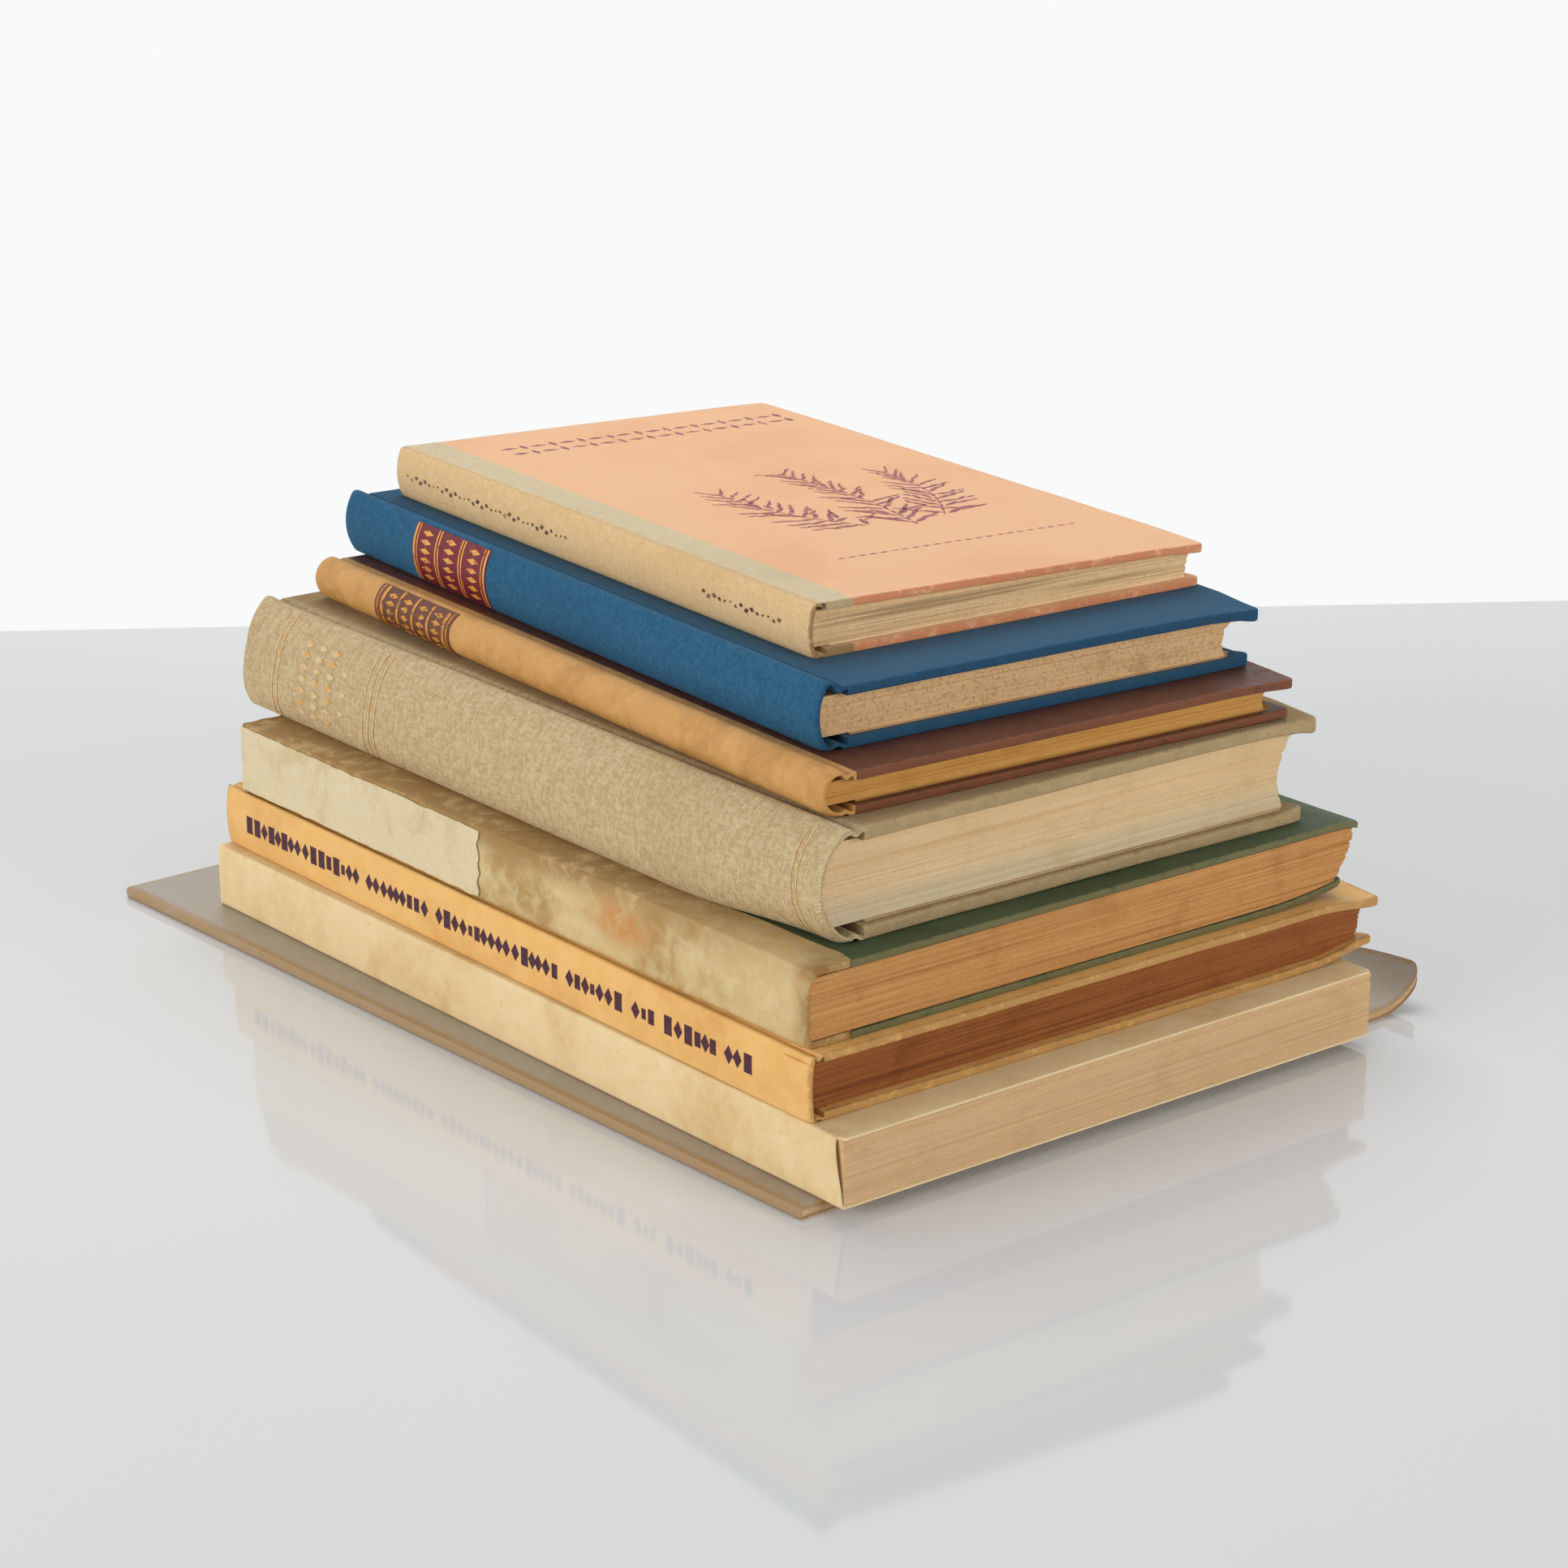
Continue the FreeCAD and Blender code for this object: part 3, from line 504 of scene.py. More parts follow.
# %% Rubbed edges
n, given, gives = start_group("Rubbed edges", {"Vector": "Vector", "Width": "Float", "Length": "Float",
                                               "Reach": "Float"}, ["Rub"])
axes = n.put("SeparateXYZ", None, Vector=given["Vector"]).outputs
to_fore = n.math("ABSOLUTE", n.math("SUBTRACT", given["Width"], axes["X"]))
to_end = n.math("MINIMUM", n.math("ABSOLUTE", axes["Y"]), n.math("ABSOLUTE",
    n.math("SUBTRACT", given["Length"], axes["Y"])))
near = n.math("SUBTRACT", 1.0, n.math("DIVIDE", n.math("MINIMUM", to_fore, to_end), given["Reach"]), clamp=True)
broken = n.noise(given["Vector"], 260.0, 4, 0.65)
n.join(n.span(n.math("MULTIPLY", near, n.math("MULTIPLY", broken, 2.0)), 0.45, 0.95), gives["Rub"])
rubbed_edges = n.tree
print("node groups", [g.name for g in bpy.data.node_groups])

# %% Starting a material
def colour(text):
    """A colour as it is written for a screen, made linear."""
    values = [int(text[i:i + 2], 16) / 255 for i in (1, 3, 5)]
    return tuple(v / 12.92 if v <= 0.04045 else ((v + 0.055) / 1.055) ** 2.4 for v in values) + (1.0,)


def start_material(name, book):
    """A material with its nodes, its shader, and the book's own coordinates, in metres."""
    material = bpy.data.materials.new(name)
    material.use_nodes = True
    nodes = Nodes(material.node_tree)
    shader = material.node_tree.nodes["Principled BSDF"]
    place = nodes.put("Mapping", {"vector_type": "TEXTURE"}, Vector=nodes.put("TexCoord").outputs["Object"],
                      Location=[v * 0.001 for v in book.place], Rotation=(0, 0, book.yaw))
    return material, nodes, shader, place.outputs[0]


def seeded(nodes, place, book):
    """The same coordinates moved to another part of the noise, so that no two books share a stain."""
    return nodes.vector("ADD", place, (book.seed * 0.731, book.seed * 0.313, book.seed * 0.577))


def group(nodes, tree, **inputs):
    node = nodes.put("Group", {"node_tree": tree})
    for key, value in inputs.items():
        nodes.join(value, node.inputs[key])
    return node.outputs


def bump(nodes, shader, height, distance):
    nodes.join(nodes.put("Bump", None, Height=height, Distance=distance, Strength=1.0).outputs[0],
               shader.inputs["Normal"])


# %% [markdown]
# ## Paper finishes
# Covering papers and card differ only in their colours, in how large their stains are, and in how far their
# edges are rubbed to the grey board. One function with those as values makes them all.

# %% Paper covering
def paper_finish(name, book, base, stain, pale, size=0.05, stains=0.6, rub=0.5, reach=0.003, rough=0.62, spots=0.25,
                 edge=None, fold=None):
    material, n, shader, place = start_material(name, book)
    own = seeded(n, place, book)
    paper = group(n, old_paper, Vector=own, Size=size)
    fine = group(n, old_paper, Vector=own, Size=size * 0.12)
    shade = n.tint(n.span(paper["Cloud"], 0.45, 0.72, 0.0, stains), colour(base), colour(stain))
    shade = n.tint(n.span(fine["Cloud"], 0.35, 0.7, 0.0, 0.35), shade, colour(pale))
    shade = n.tint(n.math("MULTIPLY", paper["Spots"], spots), shade, colour(stain))
    width = getattr(book, "front_width", book.width) * 0.001
    worn = group(n, rubbed_edges, Vector=place, Width=width, Length=book.length * 0.001, Reach=reach)
    shade = n.tint(n.math("MULTIPLY", worn["Rub"], rub), shade, colour(edge or pale))
    if fold:
        across = n.put("SeparateXYZ", None, Vector=place).outputs["X"]
        rubbed = n.math("MULTIPLY", n.span(across, 0.0042, 0.0012), n.span(fine["Cloud"], 0.25, 0.5, 0.6, 1.0))
        shade = n.tint(rubbed, shade, colour(fold))
    n.join(shade, shader.inputs["Base Color"])
    n.join(n.span(fine["Cloud"], 0.3, 0.7, rough - 0.08, rough + 0.1), shader.inputs["Roughness"])
    shader.inputs["Specular IOR Level"].default_value = 0.25
    bump(n, shader, n.math("ADD", paper["Fibre"], n.math("MULTIPLY", fine["Cloud"], 2.0)), 0.00006)
    return material


grey_card = paper_finish("grey_card", grey, "#A19687", "#8B8170", "#AFA89B", 0.08, 0.5, 0.9, 0.003, 0.3, 0.1,
                         "#A8845C", "#9C815F")
cream_card = paper_finish("cream_card", cream, "#DBC294", "#C59F66", "#E3D2A9", 0.045, 0.7, 0.3, 0.003, 0.5, 0.3)
yellow_paper = paper_finish("yellow_paper", yellow, "#DBAB65", "#C08A48", "#E4BF82", 0.06, 0.6, 0.7, 0.003, 0.5, 0.25,
                            "#9A7143")
green_paper = paper_finish("green_paper", green, "#3D4D35", "#28331F", "#566348", 0.04, 0.6, 0.55, 0.0022, 0.6, 0.2,
                           "#80734C")
brown_paper = paper_finish("brown_paper", tan, "#523024", "#3C1F17", "#6A4030", 0.03, 0.6, 0.45, 0.0025, 0.45, 0.2,
                           "#8A5638")
peach_paper = paper_finish("peach_paper", peach, "#E6B48A", "#DA9E70", "#EBC29C", 0.05, 0.5, 0.7, 0.0014, 0.55, 0.1,
                           "#B8643C")
white_endpaper = paper_finish("white_endpaper", peach, "#DCCBA6", "#C9B386", "#E6D9BA", 0.05, 0.5, 0.2, 0.003, 0.8,
    0.4)
# Each book's endpaper is its own toned paper, darkened further as painted shade, since only its edge shows in the
# shaded gap between board and leaves.
old_endpapers = {
    name: paper_finish(name + "_old_endpaper", book, base, "#8C6236", base, 0.05, 0.4, 0.2, 0.003, 0.8, 0.3)
    for name, book, base in (("yellow", yellow, "#A26E40"), ("green", green, "#B98A54"), ("linen", linen, "#CDB68D"),
                             ("tan", tan, "#B98A50"), ("blue", blue, "#C9A478"))}
print("paper finishes", [m.name for m in bpy.data.materials][-7:])

# %% Stained paper spine
def spine_paper_finish():
    """Cream paper, brown along its upper edge and at its ends, with an orange stain near the tail."""
    material, n, shader, place = start_material("stained_spine_paper", green)
    own = seeded(n, place, green)
    paper = group(n, old_paper, Vector=own, Size=0.03)
    fine = group(n, old_paper, Vector=own, Size=0.006)
    axes = n.put("SeparateXYZ", None, Vector=place).outputs
    shade = n.tint(n.span(paper["Cloud"], 0.42, 0.66, 0.0, 0.85), colour("#C4AB7A"), colour("#9C7A42"))
    shade = n.tint(n.span(fine["Cloud"], 0.4, 0.7, 0.0, 0.5), shade, colour("#D0C096"))
    torn = n.math("MULTIPLY", n.span(axes["Z"], 0.0125, 0.0215), n.span(fine["Cloud"], 0.3, 0.55, 0.3, 1.0))
    torn = n.math("MULTIPLY", torn, n.span(axes["Y"], 0.02, 0.10, 0.25, 0.9))
    shade = n.tint(torn, shade, colour("#8E6C3C"))
    spot = n.put("VectorMath", {"operation": "DISTANCE"}, Vector=n.vector("MULTIPLY", place, (0.3, 1.0, 2.2)))
    spot.inputs[1].default_value = (0.0, 0.083, 0.026)
    orange = n.math("MULTIPLY", n.span(spot.outputs["Value"], 0.022, 0.004),
        n.span(fine["Cloud"], 0.3, 0.6, 0.2, 1.0))
    shade = n.tint(n.math("MULTIPLY", orange, 0.75), shade, colour("#B5722C"))
    ends = n.math("MINIMUM", n.math("ABSOLUTE", axes["Y"]), n.math("ABSOLUTE", n.math("SUBTRACT", 0.2825, axes["Y"])))
    ends = n.math("MULTIPLY", n.span(ends, 0.009, 0.0), n.span(fine["Cloud"], 0.35, 0.6, 0.2, 0.9))
    shade = n.tint(ends, shade, colour("#8A6231"))
    n.join(shade, shader.inputs["Base Color"])
    n.join(n.span(fine["Cloud"], 0.3, 0.7, 0.55, 0.8), shader.inputs["Roughness"])
    bump(n, shader, n.math("ADD", paper["Fibre"], n.math("MULTIPLY", fine["Cloud"], 4.0)), 0.00012)
    return material


stained_spine_paper = spine_paper_finish()
patch_paper = paper_finish("patch_paper", green, "#CCBC98", "#B39A6A", "#D6CBB0", 0.02, 0.75, 0.0, 0.003, 0.55, 0.6)
print("spine paper", len(stained_spine_paper.node_tree.nodes), "nodes")

# %% [markdown]
# ## Cloth and leather finishes
# Book cloth is a plain weave filled with starch: dull, with a regular fine pattern and a few thick threads.
# Linen is the coarsest. The weave runs round the spine and along it, so its coordinates are the way round,
# X plus Z, and the way along, Y. Leather gets pores and creases from two sizes of cells instead.

# %% Book cloth
def cloth_finish(name, book, base, dark, light, pitch, contrast, depth, rub=0.4, reach=0.003, edge=None, soil=0.5,
                 boards=None):
    material, n, shader, place = start_material(name, book)
    own = seeded(n, place, book)
    threads = group(n, woven_threads, Vector=own, Pitch=pitch)
    paper = group(n, old_paper, Vector=own, Size=0.05)
    shade = n.tint(n.span(threads["Slub"], 0.38, 0.62), colour(dark), colour(light))
    shade = n.tint(1.0 - contrast, shade, colour(base))
    shade = n.tint(n.span(threads["Weave"], 0.2, 0.9, contrast, 0.0), shade, colour(dark))
    shade = n.tint(n.span(paper["Cloud"], 0.5, 0.75, 0.0, soil), shade, colour(dark))
    # The boards are tinted darker than the spine: painted shade, matched to board strips that lie in the shadow of the
    # book above.
    if boards:
        across = n.put("SeparateXYZ", None, Vector=place).outputs["X"]
        shade = n.tint(n.span(across, book.joint * 0.0006, book.joint * 0.0014, 0.0, 0.7), shade, colour(boards))
    worn = group(n, rubbed_edges, Vector=place, Width=book.front_width * 0.001, Length=book.length * 0.001,
        Reach=reach)
    shade = n.tint(n.math("MULTIPLY", worn["Rub"], rub), shade, colour(edge or light))
    n.join(shade, shader.inputs["Base Color"])
    n.join(n.span(threads["Slub"], 0.3, 0.7, 0.72, 0.92), shader.inputs["Roughness"])
    shader.inputs["Specular IOR Level"].default_value = 0.15
    shader.inputs["Sheen Weight"].default_value = 0.04
    bump(n, shader, n.math("ADD", threads["Weave"], n.math("MULTIPLY", threads["Slub"], 1.5)), depth)
    return material


# The last colour given to the linen and blue cloths is that painted shade on their boards.
linen_cloth = cloth_finish("linen_cloth", linen, "#CDB68D", "#A78E66", "#DECDAA", 0.0009, 0.62, 0.0002, 0.35, 0.004,
                           "#C3AE86", 0.35, "#8A7049")
blue_cloth = cloth_finish("blue_cloth", blue, "#29597A", "#1F4460", "#3B7493", 0.0005, 0.4, 0.00006, 0.45, 0.0016,
                          "#1E3850", 0.35, "#2B5069")
peach_cloth = cloth_finish("sand_cloth", peach, "#DABB8F", "#B6935F", "#DEC49A", 0.00045, 0.3, 0.00005, 0.75, 0.0018,
                           "#7E5C36", 0.35)
# A lighter, greyer copy of the sand cloth for the front strip and the hinge, which face up: painted light on the same
# cloth as the spine.
faded_cloth = cloth_finish("faded_sand_cloth", peach, "#D6C8A8", "#BCA57C", "#E0D5BA", 0.00045, 0.3, 0.00005, 0.6,
    0.0018,
                           "#A38457", 0.35)


# %% Leather
def leather_finish(name, book, base, dark, light, rough=0.45, soil=0.6):
    material, n, shader, place = start_material(name, book)
    own = seeded(n, place, book)
    paper = group(n, old_paper, Vector=own, Size=0.018)
    fine = group(n, old_paper, Vector=own, Size=0.004)
    pores = n.put("TexVoronoi", {"feature": "DISTANCE_TO_EDGE"}, Vector=own, Scale=1500.0).outputs["Distance"]
    shade = n.tint(n.span(paper["Cloud"], 0.4, 0.72, 0.0, soil), colour(base), colour(dark))
    shade = n.tint(n.span(fine["Cloud"], 0.42, 0.7, 0.0, 0.45), shade, colour(light))
    shade = n.tint(n.math("MULTIPLY", fine["Spots"], 0.4), shade, colour(dark))
    n.join(shade, shader.inputs["Base Color"])
    n.join(n.span(fine["Cloud"], 0.3, 0.7, rough - 0.08, rough + 0.15), shader.inputs["Roughness"])
    bump(n, shader, n.math("ADD", n.span(pores, 0.0, 0.25), n.math("MULTIPLY", fine["Cloud"], 2.0)), 0.00006)
    return material


tan_leather = leather_finish("tan_leather", tan, "#BF8F52", "#9A6930", "#CFA268", 0.5)
brown_label_leather = leather_finish("brown_label_leather", tan, "#5C3224", "#3C1C14", "#7C4C30", 0.45)
red_label_leather = leather_finish("red_label_leather", blue, "#651222", "#4A0B16", "#7A2230", 0.45)


# %% Gold and ink
def print_finish(name, book, base, ground, metallic, rough, worn_from, worn_to):
    """A print whose colour is rubbed through to what lies under it."""
    material, n, shader, place = start_material(name, book)
    own = seeded(n, place, book)
    fine = group(n, old_paper, Vector=own, Size=0.0025)
    gone = n.span(fine["Cloud"], worn_from, worn_to)
    n.join(n.tint(gone, colour(base), colour(ground)), shader.inputs["Base Color"])
    n.join(n.math("MULTIPLY", n.math("SUBTRACT", 1.0, gone), metallic), shader.inputs["Metallic"])
    n.join(n.span(fine["Cloud"], 0.3, 0.7, rough, rough + 0.2), shader.inputs["Roughness"])
    bump(n, shader, fine["Fibre"], 0.00003)
    return material


blue_gold = print_finish("gold_on_red", blue, "#E0A04A", "#8C2438", 0.35, 0.35, 0.52, 0.66)
tan_gold = print_finish("gold_on_brown", tan, "#D0923C", "#6A3B2C", 0.35, 0.4, 0.48, 0.62)
linen_gold = print_finish("gold_on_linen", linen, "#C99B58", "#C9B38A", 0.15, 0.5, 0.40, 0.56)
yellow_ink = print_finish("plum_ink", yellow, "#3F1B2A", "#6A3B3C", 0.0, 0.5, 0.55, 0.75)
peach_ink = print_finish("faded_plum_ink", peach, "#8B505C", "#C98E7C", 0.0, 0.6, 0.46, 0.66)
spine_ink = print_finish("brown_ink", peach, "#4A362C", "#A68E68", 0.0, 0.6, 0.5, 0.68)
print("finishes", len(bpy.data.materials))

# %% [markdown]
# ## Page edges
# A closed book shows its leaves as fine lines along the block, darker between sections and soiled in places.
# Every book's paper has aged to its own colour, so one function makes them all from the leaf's thickness and
# three colours. A second colour low in the block is for the book whose lower pages are whiter.

# %% Page edge finish
def pages_finish(name, book, base, dark, light, leaf=0.00014, lines=0.6, soil=0.35, low_colour=None, low_to=0.5,
                 speckle=0.2):
    material, n, shader, place = start_material(name, book)
    own = seeded(n, place, book)
    edge = group(n, leaf_lines, Vector=own, Leaf=leaf)
    ground = colour(base)
    if low_colour:
        height = n.put("SeparateXYZ", None, Vector=place).outputs["Z"]
        ground = n.tint(n.span(height, book.height * 0.001 * low_to, book.height * 0.0004 * low_to), colour(base),
                        colour(low_colour))
    shade = n.tint(n.span(edge["Leaves"], 0.5, 0.68, 0.0, lines), ground, colour(dark))
    shade = n.tint(n.span(edge["Leaves"], 0.5, 0.32, 0.0, lines), shade, colour(light))
    shade = n.tint(n.span(edge["Sections"], 0.58, 0.7, 0.0, lines * 0.8), shade, colour(dark))
    shade = n.tint(n.span(edge["Soil"], 0.5, 0.75, 0.0, soil), shade, colour(dark))
    shade = n.tint(n.span(edge["Speckle"], 0.48, 0.7, 0.0, speckle), shade, colour(dark))
    n.join(shade, shader.inputs["Base Color"])
    n.join(n.span(edge["Soil"], 0.3, 0.7, 0.78, 0.95), shader.inputs["Roughness"])
    shader.inputs["Specular IOR Level"].default_value = 0.2
    bump(n, shader, edge["Leaves"], 0.00018)
    return material


grey_page_edges = pages_finish("grey_page_edges", grey, "#C8A77F", "#A5845C", "#DCC39C")
cream_page_edges = pages_finish("cream_page_edges", cream, "#D2AE82", "#B08C5E", "#DFC199", 0.00013, 0.5)
yellow_page_edges = pages_finish("yellow_page_edges", yellow, "#92582F", "#5E3019", "#B07A48", 0.00013, 0.7)
green_page_edges = pages_finish("green_page_edges", green, "#C28D55", "#8A5728", "#D8A970", 0.00016, 0.7, 0.45)
linen_page_edges = pages_finish("linen_page_edges", linen, "#DEBF92", "#B6935F", "#E8D2A9", 0.00014, 0.4, 0.25,
                                "#CFC0A0", 0.45)
tan_page_edges = pages_finish("tan_page_edges", tan, "#CB9550", "#9C6A30", "#DDB173", 0.00014, 0.6)
blue_page_edges = pages_finish("blue_page_edges", blue, "#DAB384", "#94724A", "#E8CBA0", 0.00014, 0.35, 0.5,
    speckle=0.5)
peach_page_edges = pages_finish("peach_page_edges", peach, "#E0C092", "#8A6E48", "#ECD3A8", 0.00026, 0.8)


def table_finish():
    material, n, shader, _ = start_material("white_lacquer", grey)
    where = n.put("TexCoord").outputs["Object"]
    cloud = n.noise(where, 2.2, 3, 0.5)
    n.join(n.tint(cloud, colour("#CDCFD1"), colour("#D3D5D6")), shader.inputs["Base Color"])
    n.join(n.span(n.noise(where, 14.0, 3), 0.3, 0.7, 0.05, 0.065), shader.inputs["Roughness"])
    return material


table.data.materials.append(table_finish())
print("page finishes", [m.name for m in bpy.data.materials if "page" in m.name])

# %% [markdown]
# ## Shapes that every bound book shares
# The covering is one sheet that goes round the front board, down the groove of the joint, round the spine and
# out over the back board. It is drawn as an outer and an inner line, smoothed by cutting corners, and pulled
# through as one bar. The board is part of it, so the bar is thick there and thin at the joint and the spine.

# %% Lines of a cover
def smooth_line(points, rounds=2):
    points = np.array(points, float)
    for _ in range(rounds):
        a, b = points[:-1], points[1:]
        middle = np.stack([0.75 * a + 0.25 * b, 0.25 * a + 0.75 * b], 1).reshape(-1, 2)
        points = np.concatenate([points[:1], middle, points[-1:]])
    return [tuple(p) for p in points]


def spine_line(book, inset, groove_front=True):
    top, tall, j, g = book.height, book.spine_height, book.joint, book.groove
    arc = [book.spine_point(book.angle * (1 - k / 6), inset) for k in range(13)]
    g_front = g if groove_front else 0
    front = [(j, top - inset), (0.85 * j, top - inset), (0.6 * j, top - g_front - inset), (0.3 * j, tall - inset)]
    back = [(0.3 * j, inset), (0.6 * j, g + inset), (0.85 * j, inset), (j, inset)]
    return smooth_line(front + arc + back)


def case_lines(book, wall, front, back):
    top, deep, j = book.height, book.depth, book.joint
    outer = [(front, top), (j + 0.2, top)] + spine_line(book, 0) + [(j + 0.2, 0), (back, 0)]
    inner = [(front, top - deep), (j + 0.2, top - deep)] + spine_line(book, wall) + [(j + 0.2, deep), (back, deep)]
    return outer, inner


def bar(name, outer, inner, y0, y1):
    return pulled_through(name, [[(xo, y0, zo), (xo, y1, zo), (xi, y1, zi), (xi, y0, zi)]
                                 for (xo, zo), (xi, zi) in zip(outer, inner)])


def y_cuts(book, step=16):
    ends = [0.7, 1.5, 2.5, 4, 7, 11]
    return ends + list(np.arange(18, book.length - 16, step)) + [book.length - e for e in ends]


def x_cuts(start, fores, step=26):
    cuts = [f - d for f in fores for d in (0.7, 1.5, 2.5, 4.5, 9, 15)]
    return cuts + list(np.arange(start + 2, min(fores) - 18, step))


# %% Rims, corners and caps
def rims(book, past=None):
    """Accepts the edges round a cover's outline: at tail and head, and at the fore-edge."""
    joint = book.joint if past is None else past

    def chosen(a, b):
        at_end = all(abs(v.y) < 0.01 or abs(v.y - book.length) < 0.01 for v in (a, b)) and abs(a.y - b.y) < 0.01
        middle = (a.x + b.x) / 2
        if abs(a.x - b.x) < 0.3 and abs(a.z - b.z) > 0.8 and middle < joint + 1:
            return False
        return at_end or middle > joint + 1
    return chosen


def round_corners(points, book, radius):
    front = getattr(book, "front_width", book.width)
    upper = points[:, 2] > book.height / 2
    fore = np.where(upper, front, book.width)
    for start, way in ((radius, -1), (book.length - radius, 1)):
        dx = (points[:, 0] - (fore - radius)) / radius
        dy = way * (points[:, 1] - start) / radius
        both = (dx > 0) & (dy > 0)
        k = np.where(both, np.maximum(dx, dy) / np.maximum(np.hypot(dx, dy), 1e-6), 1)
        points[:, 0] = np.where(both, fore - radius + dx * k * radius, points[:, 0])
        points[:, 1] = np.where(both, start + way * dy * k * radius, points[:, 1])
    return points


def curl_caps(points, book, reach=3.0, pull=0.9):
    """The covering turns in over both ends of the spine."""
    end = np.minimum(points[:, 1], book.length - points[:, 1])
    amount = pull * np.clip(1 - end / reach, 0, 1) ** 2 * ease((0.45 * book.joint - points[:, 0]) / 2)
    away = points[:, (0, 2)] - np.array([book.centre, book.spine_height / 2])
    away /= np.linalg.norm(away, axis=1, keepdims=True)
    points[:, 0] -= away[:, 0] * amount
    points[:, 2] -= away[:, 1] * amount
    return points


def folded_corners(points, book, thick, droop):
    """The covering is folded double inside each fore-edge corner: thicker there, and the front one bent down."""
    front = getattr(book, "front_width", book.width)
    upper = points[:, 2] > book.height / 2
    inner = np.where(upper, points[:, 2] < book.height - book.depth / 2, points[:, 2] > book.depth / 2)
    aside = np.clip(np.where(upper, front, book.width) - points[:, 0], 0, None)
    apart = np.hypot(aside, np.minimum(points[:, 1], book.length - points[:, 1]))
    points[:, 2] += np.where(inner, np.where(upper, -thick, thick) * ease(1.25 - apart / 7), 0)
    points[:, 2] -= np.where(upper, droop * ease(1 - apart / 26), 0)
    return points


def wavy_edges(points, book, amount, seed, size=22):
    """Old boards aren't quite straight: their rims waver a little, in and out and up and down."""
    front = getattr(book, "front_width", book.width)
    end = np.minimum(points[:, 1], book.length - points[:, 1])
    fore = np.where(points[:, 2] > book.height / 2, front, book.width) - points[:, 0]
    near = np.clip(1 - np.minimum(end, fore) / 12, 0, 1)
    wave = ripple(points * np.array([1, 1, 0.2]), size, seed)
    points[:, 2] += amount * 0.6 * near * ripple(points * np.array([1, 1, 0]), size * 0.8, seed + 3)
    points[:, 0] += np.where(fore < 12, amount * wave * np.clip(1 - fore / 12, 0, 1), 0)
    points[:, 1] += np.where(end < 12, amount * wave * np.clip(1 - end / 12, 0, 1), 0)
    return points


# %% [markdown]
# ## Blocks of leaves
# The leaves of a book are one block, whose edges show that no two leaves lie quite flush. The block is pulled
# up in layers a little under a millimetre thick, each moved by a hair, with a deeper step now and then where
# a section begins. Hundreds of single leaves would look the same from here and cost far more.

# %% Leaf block
def leaf_block(name, length, tail, low, high, back, fore, layer=0.6, rough=0.1, seed=1, section=7):
    """back(u) and fore(u) give the block's X limits at a share u of its height."""
    random = np.random.default_rng(seed)
    count = max(4, int(round((high - low) / layer)))
    drift = np.cumsum(random.normal(0, rough * 0.35, (count + 1, 3)), axis=0)
    drift -= np.linspace(0, 1, count + 1)[:, None] * drift[-1]
    rings = []
    for k in range(count + 1):
        u = k / count
        hair = random.normal(0, rough, 3) + drift[k] - (0.25 if k % section == section - 1 else 0)
        z = low + (high - low) * u
        y0, y1, x1 = tail - hair[0], length - tail + hair[1], fore(u) + hair[2]
        rings.append([(back(u), y0, z), (back(u), y1, z), (x1, y1, z), (x1, y0, z)])
    return pulled_through(name, rings)


def bound_leaves(name, book, finish, rough=0.1, layer=0.6):
    low, high = book.depth + 0.3, book.height - book.depth - 0.3
    fore = lambda u: book.width - book.fore + book.lean * u - 4 * book.curve * u * (1 - u)
    piece = leaf_block(name, book.length, book.tail, low, high, lambda u: book.page_back(low + (high - low) * u),
        fore,
                       layer, rough, book.seed)
    cut_across(piece, 0, np.arange(20, book.width - 12, 22))
    cut_across(piece, 1, np.arange(20, book.length - 12, 22))

    def waver(points):
        points[:, 1] += 0.12 * ripple(points, 18, book.seed)
        points[:, 0] += 0.12 * ripple(points, 18, book.seed + 5)
        return points
    reshape(piece, waver)
    return lay_on_stack(piece, book, "stack", name_of(book) + "_pages", finish, [name_of(book) + "_text_block"], 50)


def name_of(book):
    return next(key for key, value in globals().items() if value is book and isinstance(value, Book))


# %% [markdown]
# ## Grey booklet
# The lowest book is a thin booklet in a folded grey card. It is cut flush, and its fore-edge curls up from the
# table, most of all at the near corner, which is also worn round. Card and leaves are flat bars that are cut
# across and then bent by one function, so that they stay together.

# %% Grey booklet
def curl_up(points):
    past = np.clip(points[:, 0] - 226, 0, 18)
    points[:, 2] += 40 - np.sqrt(40 ** 2 - past ** 2)
    points[:, 2] += (past / 18) ** 2 * 5.0 * np.exp(-(points[:, 1] / 42) ** 2)
    return points


def grey_corner(points):
    radius, fore = 5.0, grey.width
    dx, dy = (points[:, 0] - (fore - radius)) / radius, (radius - points[:, 1]) / radius
    both = (dx > 0) & (dy > 0)
    k = np.where(both, np.maximum(dx, dy) / np.maximum(np.hypot(dx, dy), 1e-6), 1)
    points[:, 0] = np.where(both, fore - radius + dx * k * radius, points[:, 0])
    points[:, 1] = np.where(both, radius - dy * k * radius, points[:, 1])
    points[:, 0] += np.where(points[:, 0] > 200, 0.35 * ripple(points * np.array([0, 1, 0]), 14, 4), 0)
    return curl_up(points)


